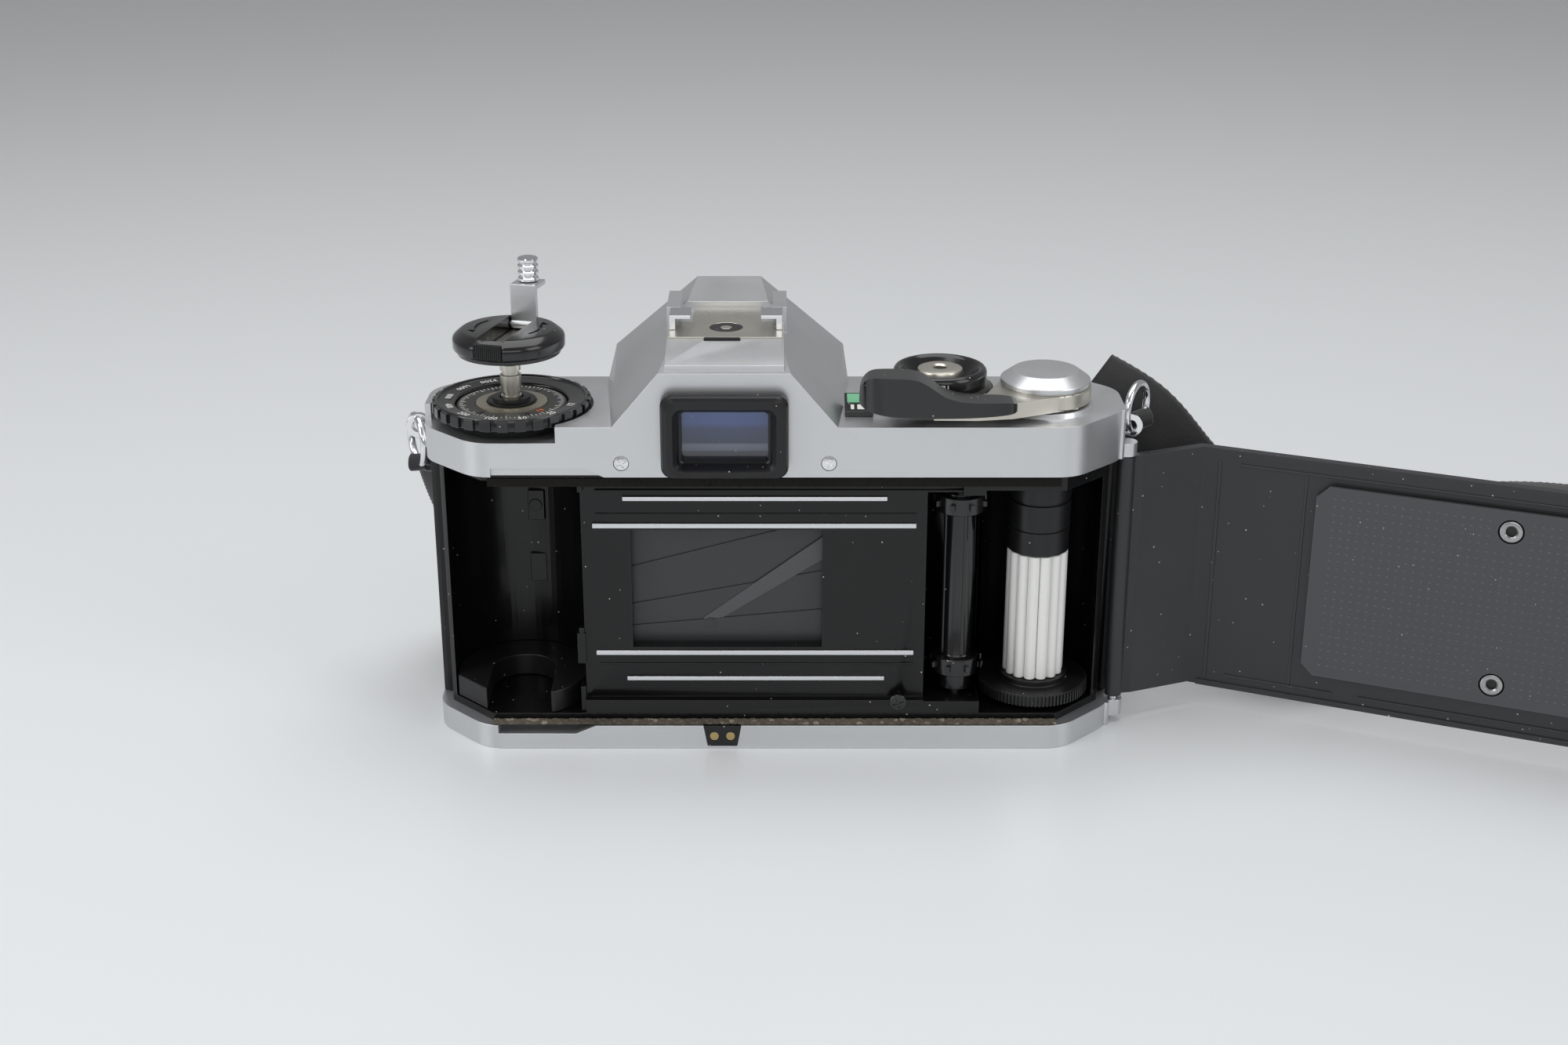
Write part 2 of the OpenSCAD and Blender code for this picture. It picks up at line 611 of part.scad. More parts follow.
module dial_collar() color("#161616") at_rewind() difference() {
  union() {
    tube(3.35, seam_z + 4.6, deck_z + 0.75);
    tube(4.55, deck_z + 0.75, deck_z + 1.2);
    tube(3.6, deck_z + 1.2, deck_z + 1.7);
  }
  tube(shaft_r + 0.25, 0, 100);
}

module rewind_clip() color("#8a8c8e") at_rewind() difference() {
  tube(shaft_r + 1.15, seam_z + 3.1, seam_z + 4.3);
  tube(shaft_r - 0.5 + run_gap, 0, 100);
}

module rewind_shaft() color("#b3ab90") at_rewind() difference() {
  union() {
    tube(shaft_r, seam_z - 4.4, knob_z + 0.6);
    tube(shaft_r + 0.55, seam_z - 0.6, seam_z + 3.05);
  }
  difference() {
    tube(shaft_r + 2, seam_z + 3.05, seam_z + 4.35);
    tube(shaft_r - 0.5, 0, 100);
  }
  for (z = [2.2, 4.2, 8.2]) difference() {
    tube(shaft_r + 1, knob_z - z, knob_z - z + 0.7);
    tube(shaft_r - 0.35, 0, 100);
  }
  box(-0.7, 0.7, -5, 5, 0, seam_z - 2.6);
}

module rewind_knob() color("#1b1b1c") at_rewind() difference() {
  union() {
    tube(knob_r - 0.7, knob_z, knob_z + 1);
    tube(knob_r, knob_z + 1, knob_z + knob_h - 1.4);
    translate([0, 0, knob_z + knob_h - 1.4]) cylinder(r1 = knob_r, r2 = knob_r - 1.8, h = 1.4);
  }
  rotate(-crank_turn) {
    box(-crank_w / 2 - 0.2, crank_w / 2 + 0.2, -crank_out - 0.6, crank_out + 1.4, pivot_z - 1.2, 200);
    box(-2.9, 2.9, -knob_r - 1, -knob_r + 0.7, knob_z + 1.2, knob_z + 4.2);
    translate([0, crank_out, pivot_z]) rotate([0, 90, 0]) tube(0.5 + run_gap, -4.2, 4.2);
  }
  tube(shaft_r + seat_gap, 0, knob_z + 0.6 + seat_gap);
  tube(5, 0, knob_z + 0.5);
}

module at_crank() at_rewind() rotate(-crank_turn) translate([0, crank_out, pivot_z]) children();

module crank_arm() color("#c8cacc") at_crank() difference() {
  union() {
    box(-crank_w / 2, crank_w / 2, -0.5, 0.4, 0, crank_h);
    box(-crank_w / 2, crank_w / 2, -0.5, 4.6, crank_h - 0.9, crank_h);
    rotate([0, 90, 0]) tube(0.9, -crank_w / 2, crank_w / 2);
    rotate([0, 90, 0]) tube(0.5, -4, 4);
  }
  translate([0, 2.5, 0]) tube(0.6 + run_gap, 0, 40);
}

module crank_finger() color("#d2d4d6") at_crank() translate([0, 2.5, 0]) {
  tube(0.6, crank_h - 1.3, crank_h + 2);
  tube(1.2, crank_h - 1.5, crank_h - 1.0);
  for (k = [0:3]) tube(finger_r, crank_h + 0.1 + k * 1.2, crank_h + 0.9 + k * 1.2);
  tube(finger_r - 0.45, crank_h + 0.1, crank_h + 4.8);
}

// ---- advance side ----
module mode_dial() color("#1a1a1b") at_mode() difference() {
  union() {
    tube(mode_r, deck_z + side_gap, deck_z + 3.4);
    tube(mode_r - 1.2, deck_z + 3.4, deck_z + mode_h + 1.25);
  }
  translate([0, 0, deck_z + 3.6]) cylinder(r1 = button_r + 0.2, r2 = mode_r - 2, h = mode_h - 2.34);
  tube(button_r + 0.2, deck_z + 2.4, 200);
  tube(2.6, 0, 200);
}

module shutter_button() color("#d6d2c0") at_mode() difference() {
  union() {
    tube(button_r, button_z - 2.4, button_z);
    tube(2.2, seam_z + 3, button_z - 2.4);
  }
  tube(release_r, button_z - 4, button_z + 1);
}

module lever_arm() color("#cfccc0") difference() {
  union() {
    translate([0, 0, lever_z]) linear_extrude(lever_t) union() {
      translate([spool_x, -spool_y]) circle(r = lever_r);
      polygon([[spool_x + 5.5, -9.6], [spool_x - 0.5, -12.4], [52.4, -15.4], [46, -16.4], [38, -16.2],
        [36.5, -12.6], [44, -11.9], [48.2, -9], [spool_x - 8.4, -1.5]]);
    }
    at_spool() tube(3.2, seam_z + 3, lever_z);
  }
  at_spool() tube(1.4, 0, seam_z + 6);
}

module lever_tip() color("#161617") difference() {
  intersection() {
    translate([0, 0, lever_z]) linear_extrude(20) polygon([[24.6, -14.8], [27.8, -17], [36.3, -17.6],
      [43.4, -17.4], [49.3, -16.7], [53, -15.9], [53, -11.4], [45, -12], [36, -11.5], [27.5, -11.1], [24.8, -12.4]]);
    translate([0, 0, 0]) rotate([90, 0, 0]) linear_extrude(40) polygon([[24.4, deck_z + 2.1],
      [24.8, deck_z + 7.8], [26.6, deck_z + 9.2], [34, deck_z + 9.2], [36.8, deck_z + 8], [39.7, deck_z + 6],
      [43.3, deck_z + 4.9], [52, deck_z + 4.6], [53.2, deck_z + 3.6], [53, deck_z + 2.1]]);
  }
  lever_arm();
}

module lever_cap() color("#d3d5d7") at_spool() {
  tube(lever_r - 0.2, lever_z + lever_t, lever_z + lever_t + 1.1);
  translate([0, 0, lever_z + lever_t + 1.1]) cylinder(r1 = lever_r - 0.2, r2 = 6.1, h = 1.65);
}

// ---- back door ----
module door_plan(i0, i1) difference() {
  polygon(plan(i0));
  polygon(plan(i1));
  translate([-150, -body_rear + rear_corner + 0.9]) square([400, 100]);
}

module door_place() translate([hinge_x, -hinge_y, 0]) rotate(door_open)
  translate([-hinge_x, hinge_y, 0]) children();

module door_shell() color("#202022") door_place() difference() {
  union() {
    translate([0, 0, door_z0]) linear_extrude(door_z1 - door_z0) union() {
      door_plan(0.3, body_rear - door_in);
      translate([hinge_x, -hinge_y]) circle(r = hinge_r + 0.75);
      polygon([[body_right - 2, -body_rear + rear_corner + 0.8], [body_right - 0.3, -body_rear + rear_corner + 0.8],
        [hinge_x + 0.6, -hinge_y - 1.4], [hinge_x - 1.5, -hinge_y - 0.7]]);
    }
    box(-body_left + 13, body_right - 13, -door_in - 0.1, -case_rear - 0.12, door_z0, door_z0 + 1.1);
    box(-body_left + 4, -body_left + 5.6, -body_rear + rear_corner - 3.4, -body_rear + rear_corner - 1.4,
      door_z0 + 20, door_z0 + 28);
    box(-body_left + 13, body_right - 13, -door_in - 0.1, -case_rear - 0.42, door_z1 - 1.1, door_z1);
  }
  translate([hinge_x, -hinge_y, 0]) tube(hinge_r + run_gap, 0, 100);
}

module door_skin() color("#191919") door_place() translate([0, 0, door_z0 + 0.6])
  linear_extrude(door_z1 - door_z0 - 1.2) intersection() {
    door_plan(-0.2, 0.3);
    translate([-body_left + 3, -40]) square([body_left + body_right - 7, 60]);
  }

module plate_rivets() color("#8f9193") door_place() for (s = [-1, 1])
  translate([plate_x, -door_in, film_z + s * 15.4]) rotate([-90, 0, 0]) difference() {
    tube(rivet_r, 0, door_in + film_y - side_gap);
    tube(1.0, 0.5, 5);
  }

module pressure_plate() color("#2b2c2e") door_place() difference() {
  translate([plate_x, -plate_rear, film_z]) rotate([-90, 0, 0]) linear_extrude(plate_t)
    polygon([[-plate_w / 2 + 2.3, -plate_h / 2], [plate_w / 2 - 2.3, -plate_h / 2],
      [plate_w / 2, -plate_h / 2 + 2.3], [plate_w / 2, plate_h / 2 - 2.3], [plate_w / 2 - 2.3, plate_h / 2],
      [-plate_w / 2 + 2.3, plate_h / 2], [-plate_w / 2, plate_h / 2 - 2.3], [-plate_w / 2, -plate_h / 2 + 2.3]]);
  for (s = [-1, 1]) translate([plate_x, -plate_rear - 1, film_z + s * 15.4]) rotate([-90, 0, 0])
    tube(rivet_r + 0.2, 0, 5);
}

module plate_spring() color("#9c9ea0") door_place()
  box(plate_x - 26, plate_x + 26, -door_in, -door_in + 0.15, film_z - 5, film_z + 5);

module hinge_pin() color("#c3c5c7") translate([hinge_x, -hinge_y, 0]) tube(hinge_r, 2.4, seam_z + 2);

// ---- strap ----
module lug(x, y) translate([x, y, seam_z + 3.2]) rotate([90, 0, 0]) difference() {
  translate([0, 0, -0.8]) cylinder(r = 2.4, h = 1.6);
  translate([0, 0, -2]) cylinder(r = 1.2, h = 4);
}

module strap_lugs() color("#c6c8ca") {
  lug(body_right + 2.45, 4);
  lug(-body_left - 2.45, 4);
  box(body_right, body_right + 0.6, 3.2, 4.8, seam_z + 1, seam_z + 5.4);
  box(-body_left - 0.6, -body_left, 3.2, 4.8, seam_z + 1, seam_z + 5.4);
}

module strap_rings() color("#d0d2d4") {
  translate([body_right + 3.6, 4.4, seam_z + 6.6]) rotate([0, 90, -32])
    rotate_extrude() translate([ring_r, 0]) circle(r = ring_wire);
  translate([-body_left - 3.0, 4.4, seam_z + 0.2]) rotate([0, 90, 25])
    rotate_extrude() translate([ring_r, 0]) circle(r = ring_wire);
}

// The strap's centreline from the right ring, over the table and back to the left ring,
// each point with the direction across the webbing.
strap_route = [
  [[70, 18.2, seam_z + 5.5], [0.6, 0.1, 0.8], 0.9],
  [[79, 14, seam_z - 0.5], [0.6, 0.1, 0.8], 1],
  [[88, 12.5, seam_z - 10.5], [0.55, 0.15, 0.8], 1],
  [[99, 12, seam_z - 22.5], [0.45, 0.4, 0.75], 1],
  [[112, 13, 20], [0.25, 0.75, 0.5], 1],
  [[127, 16, 8], [0, 0.95, 0.2], 1],
  [[144, 20, 2], [-0.2, 0.97, 0], 1],
  [[164, 26, 1], [-0.35, 0.93, 0], 1],
  [[190, 34, 1], [-0.35, 0.93, 0], 1],
  [[216, 46, 1], [-0.6, 0.8, 0], 1],
  [[234, 70, 1], [-0.97, 0.2, 0], 1],
  [[230, 98, 1], [-0.85, -0.5, 0], 1],
  [[208, 116, 1], [-0.3, -0.95, 0], 1],
  [[184, 117, 1], [0.15, -0.98, 0], 1],
  [[158, 106, 1], [0.5, -0.85, 0], 1],
  [[130, 84, 1], [0.5, -0.85, 0], 1],
  [[98, 68, 1], [0.3, -0.95, 0], 1],
  [[62, 62, 1], [0.05, -1, 0], 1],
  [[24, 63, 1], [-0.05, -1, 0], 1],
  [[-8, 60, 1], [0.1, -1, 0], 1],
  [[-31, 50, 2.5], [0.5, -0.85, 0], 1],
  [[-45, 36, 12], [0.8, -0.6, 0], 1],
  [[-52, 25, 28], [0.85, -0.5, 0], 0.85],
  [[-57.8, 13.5, seam_z - 8], [0.8, -0.2, 0.1], 0.42]
];
strap_steps = 3;
function mix(a, b, c, d, t) = 0.5 * ((2 * b) + (c - a) * t + (2 * a - 5 * b + 4 * c - d) * t * t
  + (3 * b - a - 3 * c + d) * t * t * t);
function unit(v) = v / norm(v);
function route_at(k, i) = let(n = len(strap_route) - 1, s = floor(i / strap_steps), t = i / strap_steps - s)
  mix(strap_route[max(s - 1, 0)][k], strap_route[min(s, n)][k], strap_route[min(s + 1, n)][k],
    strap_route[min(s + 2, n)][k], t);
strap_rings = (len(strap_route) - 1) * strap_steps;
strap_section = [[-0.5, -0.3], [-0.485, -0.5], [0.485, -0.5], [0.5, -0.3], [0.5, 0.3], [0.485, 0.5],
  [-0.485, 0.5], [-0.5, 0.3]];
function strap_ring(i) = let(p = route_at(0, i), q = route_at(0, i + 0.2), t = unit(q - p),
  w0 = route_at(1, i), w = unit(w0 - t * (w0 * t)), n = cross(t, w))
  [for (c = strap_section) p + w * c[0] * strap_w * route_at(2, i) + n * c[1] * strap_t];

module strap() color("#1a1a1a") {
  n = len(strap_section);
  points = [for (i = [0:strap_rings]) for (p = strap_ring(min(i, strap_rings - 0.21))) p];
  polyhedron(points = points, faces = concat(
    [[for (j = [0:n - 1]) j]],
    [for (i = [0:strap_rings - 1]) for (j = [0:n - 1])
      [i * n + j, i * n + n + j, i * n + n + (j + 1) % n, i * n + (j + 1) % n]],
    [[for (j = [n - 1:-1:0]) strap_rings * n + j]]));
}

body_casting();
cassette_cradle();
film_rails();
shutter_plate();
shutter_blades();
take_up_spool();
spool_needles();
spool_flange();
sprocket();
film_spindles();
light_seals();
base_plate();
contact_plate();
winder_contacts();
tripod_bush();
battery_cover();
battery();
rewind_release();
leather_left();
leather_right();
sync_socket();
mount_housing();
lens_mount();
mirror_box();
reflex_mirror();
focusing_screen();
pentaprism();
self_timer_lever();
lens_release();
top_cover();
cover_screws();
index_block();
eyepiece_frame();
eyepiece_glass();
shoe_plate();
shoe_contact();
shoe_rails();
circuit_board();
film_dial();
dial_disc();
dial_collar();
rewind_clip();
rewind_shaft();
rewind_knob();
crank_arm();
crank_finger();
mode_dial();
shutter_button();
lever_arm();
lever_tip();
lever_cap();
door_shell();
door_skin();
plate_rivets();
pressure_plate();
plate_spring();
hinge_pin();
strap_lugs();
strap_rings();
strap();
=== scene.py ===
import math
import bpy
import bmesh
from mathutils import Matrix, Vector


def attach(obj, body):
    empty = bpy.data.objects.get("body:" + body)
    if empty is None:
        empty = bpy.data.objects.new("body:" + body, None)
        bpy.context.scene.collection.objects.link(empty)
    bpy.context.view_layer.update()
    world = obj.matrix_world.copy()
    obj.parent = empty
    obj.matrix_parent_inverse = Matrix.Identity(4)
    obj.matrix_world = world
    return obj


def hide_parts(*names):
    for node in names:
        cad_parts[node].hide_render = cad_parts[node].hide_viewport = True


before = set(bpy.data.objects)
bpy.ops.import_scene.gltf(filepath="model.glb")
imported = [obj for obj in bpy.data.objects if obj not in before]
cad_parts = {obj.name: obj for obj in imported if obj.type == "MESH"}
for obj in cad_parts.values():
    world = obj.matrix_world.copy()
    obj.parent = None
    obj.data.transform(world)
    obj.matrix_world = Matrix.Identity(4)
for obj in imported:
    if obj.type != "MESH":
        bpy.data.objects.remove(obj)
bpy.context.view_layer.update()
scene = bpy.context.scene
print("frame loaded")

# everything below is drawn in millimetres and brought to metres by addPiece
body = dict(left=-56.6, right=74.5, rear=-16.5, front=14.5)
filmZ = 31.47      # height of the middle of the film
rewindAxis = Vector((-40.2, -2.8, 0))
spoolAxis = Vector((59.5, -3.0, 0))
sprocketAxis = Vector((44.0, -8.0, 0))
modeAxis = Vector((40.0, -0.5, 0))
hinge = Vector((75.5, -3.6, 0))
doorOpen = math.radians(157.1)
crankTurn = math.radians(16)


# camera and light
def setCamera():
    data = bpy.data.cameras.new("view")
    data.sensor_width = 36
    data.lens = 49.59
    cam = bpy.data.objects.new("view", data)
    scene.collection.objects.link(cam)
    cam.location = (0.010768, -0.38781, 0.191614)
    cam.rotation_euler = (math.radians(68.678), 0, 0)
    data.clip_start = 0.01
    scene.camera = cam


def addLamp(name, place, aim, size, power):
    data = bpy.data.lights.new(name, "AREA")
    data.shape = "RECTANGLE"
    data.size, data.size_y = size
    data.energy = power
    lamp = bpy.data.objects.new(name, data)
    scene.collection.objects.link(lamp)
    lamp.location = place
    lamp.rotation_euler = (Vector(aim) - Vector(place)).to_track_quat("-Z", "Y").to_euler()


def setStudio():
    addLamp("topSoftbox", (0.0, 0.05, 0.75), (0.02, 0, 0.03), (0.9, 0.6), 3.9)
    addLamp("leftSoftbox", (-0.7, -0.35, 0.42), (0.02, 0, 0.03), (0.5, 0.5), 2.5)
    addLamp("rightSoftbox", (0.75, -0.45, 0.5), (0.04, 0, 0.03), (0.45, 0.6), 1.9)
    addLamp("frontSoftbox", (0.05, -0.85, 0.35), (0.02, 0, 0.04), (0.8, 0.35), 1.3)
    world = bpy.data.worlds.new("studio")
    world.use_nodes = True
    world.node_tree.nodes["Background"].inputs[0].default_value = (0.86, 0.87, 0.88, 1)
    world.node_tree.nodes["Background"].inputs[1].default_value = 0.36
    scene.world = world
    scene.view_settings.view_transform = "Standard"
    bm = bmesh.new()
    bmesh.ops.create_grid(bm, x_segments=1, y_segments=1, size=6)
    mesh = bpy.data.meshes.new("table")
    bm.to_mesh(mesh)
    bm.free()
    floor = bpy.data.objects.new("table", mesh)
    scene.collection.objects.link(floor)
    mat = bpy.data.materials.new("paleTable")
    mat.use_nodes = True
    shader = mat.node_tree.nodes["Principled BSDF"]
    shader.inputs["Base Color"].default_value = (0.72, 0.74, 0.75, 1)
    shader.inputs["Roughness"].default_value = 0.32
    mesh.materials.append(mat)


# node groups shared by the finishes
def newGroup(name, inputs, outputs):
    group = bpy.data.node_groups.new(name, "ShaderNodeTree")
    for label, kind, value in inputs:
        socket = group.interface.new_socket(name=label, in_out="INPUT", socket_type=kind)
        if value is not None:
            socket.default_value = value
    for label, kind in outputs:
        group.interface.new_socket(name=label, in_out="OUTPUT", socket_type=kind)
    return group, group.nodes.new("NodeGroupInput"), group.nodes.new("NodeGroupOutput")


def makeGrainGroup():
    group, start, end = newGroup("fineGrain", [("Vector", "NodeSocketVector", None),
        ("Scale", "NodeSocketFloat", 900.0), ("Stretch", "NodeSocketVector", None)],
        [("Height", "NodeSocketFloat"), ("Patches", "NodeSocketFloat")])
    stretch = group.nodes.new("ShaderNodeVectorMath")
    stretch.operation = "MULTIPLY"
    fine = group.nodes.new("ShaderNodeTexNoise")
    fine.inputs["Detail"].default_value = 4
    broad = group.nodes.new("ShaderNodeTexNoise")
    broad.inputs["Scale"].default_value = 55
    broad.inputs["Detail"].default_value = 5
    broad.inputs["Roughness"].default_value = 0.62
    link = group.links.new
    link(start.outputs["Vector"], stretch.inputs[0])
    link(start.outputs["Stretch"], stretch.inputs[1])
    link(stretch.outputs[0], fine.inputs["Vector"])
    link(start.outputs["Scale"], fine.inputs["Scale"])
    link(start.outputs["Vector"], broad.inputs["Vector"])
    link(fine.outputs[0], end.inputs["Height"])
    link(broad.outputs[0], end.inputs["Patches"])
    return group


def makeDustGroup():
    group, start, end = newGroup("dustSpecks", [("Vector", "NodeSocketVector", None),
        ("Scale", "NodeSocketFloat", 420.0), ("Amount", "NodeSocketFloat", 0.2)],
        [("Mask", "NodeSocketFloat")])
    cells = group.nodes.new("ShaderNodeTexVoronoi")
    cells.inputs["Randomness"].default_value = 1
    thin = group.nodes.new("ShaderNodeTexNoise")
    thin.inputs["Scale"].default_value = 120
    limit = group.nodes.new("ShaderNodeMath")
    limit.operation = "MULTIPLY"
    spot = group.nodes.new("ShaderNodeMath")
    spot.operation = "LESS_THAN"
    link = group.links.new
    link(start.outputs["Vector"], cells.inputs["Vector"])
    link(start.outputs["Scale"], cells.inputs["Scale"])
    link(start.outputs["Vector"], thin.inputs["Vector"])
    link(thin.outputs[0], limit.inputs[0])
    link(start.outputs["Amount"], limit.inputs[1])
    link(cells.outputs["Distance"], spot.inputs[0])
    link(limit.outputs[0], spot.inputs[1])
    link(spot.outputs[0], end.inputs["Mask"])
    return group


def makeWearGroup():
    group, start, end = newGroup("edgeWear", [("Radius", "NodeSocketFloat", 0.0006),
        ("Amount", "NodeSocketFloat", 0.5), ("Vector", "NodeSocketVector", None)],
        [("Mask", "NodeSocketFloat")])
    bevel = group.nodes.new("ShaderNodeBevel")
    bevel.samples = 4
    plain = group.nodes.new("ShaderNodeNewGeometry")
    dot = group.nodes.new("ShaderNodeVectorMath")
    dot.operation = "DOT_PRODUCT"
    flip = group.nodes.new("ShaderNodeMath")
    flip.operation = "SUBTRACT"
    flip.inputs[0].default_value = 1
    rough = group.nodes.new("ShaderNodeTexNoise")
    rough.inputs["Scale"].default_value = 260
    rough.inputs["Detail"].default_value = 5
    times = group.nodes.new("ShaderNodeMath")
    times.operation = "MULTIPLY"
    gain = group.nodes.new("ShaderNodeMath")
    gain.operation = "MULTIPLY"
    gain.use_clamp = True
    link = group.links.new
    link(start.outputs["Radius"], bevel.inputs["Radius"])
    link(bevel.outputs[0], dot.inputs[0])
    link(plain.outputs["Normal"], dot.inputs[1])
    link(dot.outputs["Value"], flip.inputs[1])
    link(start.outputs["Vector"], rough.inputs["Vector"])
    link(flip.outputs[0], times.inputs[0])
    link(rough.outputs[0], times.inputs[1])
    link(times.outputs[0], gain.inputs[0])
    link(start.outputs["Amount"], gain.inputs[1])
    link(gain.outputs[0], end.inputs["Mask"])
    return group


grain = makeGrainGroup()
dust = makeDustGroup()
wear = makeWearGroup()


def makeFinish(name, colour, rough, metal=0.0, grainScale=900, grainDepth=0.02, stretch=(1, 1, 1),
        spread=0.08, dustAmount=0.0, dustColour=(0.45, 0.42, 0.37), wearAmount=0.0,
        wearColour=(0.3, 0.3, 0.3), tint=0.06, coat=0.0, glassy=0.0, ior=1.5, sheen=0.0, shine=0.5,
        paintedReflectionBands=None):
    mat = bpy.data.materials.new(name)
    mat.use_nodes = True
    tree = mat.node_tree
    shader = tree.nodes["Principled BSDF"]
    link = tree.links.new
    shader.inputs["Metallic"].default_value = metal
    shader.inputs["Transmission Weight"].default_value = glassy
    shader.inputs["IOR"].default_value = ior
    shader.inputs["Coat Weight"].default_value = coat
    shader.inputs["Specular IOR Level"].default_value = shine
    shader.inputs["Coat Roughness"].default_value = 0.08
    shader.inputs["Sheen Weight"].default_value = sheen
    place = tree.nodes.new("ShaderNodeTexCoord")
    fine = tree.nodes.new("ShaderNodeGroup")
    fine.node_tree = grain
    fine.inputs["Scale"].default_value = grainScale
    fine.inputs["Stretch"].default_value = stretch
    link(place.outputs["Object"], fine.inputs["Vector"])
    bump = tree.nodes.new("ShaderNodeBump")
    bump.inputs["Strength"].default_value = min(1.0, grainDepth * 10)
    bump.inputs["Distance"].default_value = 0.0001
    link(fine.outputs["Height"], bump.inputs["Height"])
    link(bump.outputs[0], shader.inputs["Normal"])
    ramp = tree.nodes.new("ShaderNodeMapRange")
    ramp.inputs["From Min"].default_value = 0.3
    ramp.inputs["From Max"].default_value = 0.7
    ramp.inputs["To Min"].default_value = max(0.02, rough - spread)
    ramp.inputs["To Max"].default_value = rough + spread
    link(fine.outputs["Patches"], ramp.inputs["Value"])
    link(ramp.outputs[0], shader.inputs["Roughness"])
    shade = tree.nodes.new("ShaderNodeMix")
    shade.data_type = "RGBA"
    shade.inputs["A"].default_value = tuple(c * (1 - tint) for c in colour) + (1,)
    shade.inputs["B"].default_value = tuple(min(1, c * (1 + tint)) for c in colour) + (1,)
    link(fine.outputs["Patches"], shade.inputs["Factor"])
    last = shade
    # painted reflection: when given, a ramp of lighter and darker colours by height (object Z) is mixed over
    # the base colour
    if paintedReflectionBands:
        split = tree.nodes.new("ShaderNodeSeparateXYZ")
        level = tree.nodes.new("ShaderNodeMapRange")
        level.inputs["From Min"].default_value = paintedReflectionBands["low"]
        level.inputs["From Max"].default_value = paintedReflectionBands["high"]
        paintedReflectionTones = tree.nodes.new("ShaderNodeValToRGB")
        paintedReflectionTones.color_ramp.elements.remove(paintedReflectionTones.color_ramp.elements[1])
        for k, (at, tone) in enumerate(paintedReflectionBands["paintedReflectionTones"]):
            element = paintedReflectionTones.color_ramp.elements[0] if k == 0 else paintedReflectionTones.color_ramp.elements.new(at)
            element.position = at
            element.color = tone + (1,)
        mix = tree.nodes.new("ShaderNodeMix")
        mix.data_type = "RGBA"
        mix.inputs["Factor"].default_value = 0.9
        link(place.outputs["Object"], split.inputs[0])
        link(split.outputs["Z"], level.inputs["Value"])
        link(level.outputs[0], paintedReflectionTones.inputs[0])
        link(last.outputs["Result"], mix.inputs["A"])
        link(paintedReflectionTones.outputs[0], mix.inputs["B"])
        last = mix
    if wearAmount:
        rub = tree.nodes.new("ShaderNodeGroup")
        rub.node_tree = wear
        rub.inputs["Amount"].default_value = wearAmount
        link(place.outputs["Object"], rub.inputs["Vector"])
        mix = tree.nodes.new("ShaderNodeMix")
        mix.data_type = "RGBA"
        mix.inputs["B"].default_value = wearColour + (1,)
        link(rub.outputs["Mask"], mix.inputs["Factor"])
        link(last.outputs["Result"], mix.inputs["A"])
        last = mix
    if dustAmount:
        specks = tree.nodes.new("ShaderNodeGroup")
        specks.node_tree = dust
        specks.inputs["Amount"].default_value = dustAmount
        link(place.outputs["Object"], specks.inputs["Vector"])
        mix = tree.nodes.new("ShaderNodeMix")
        mix.data_type = "RGBA"
        mix.inputs["B"].default_value = dustColour + (1,)
        link(specks.outputs["Mask"], mix.inputs["Factor"])
        link(last.outputs["Result"], mix.inputs["A"])
        last = mix
    link(last.outputs["Result"], shader.inputs["Base Color"])
    return mat


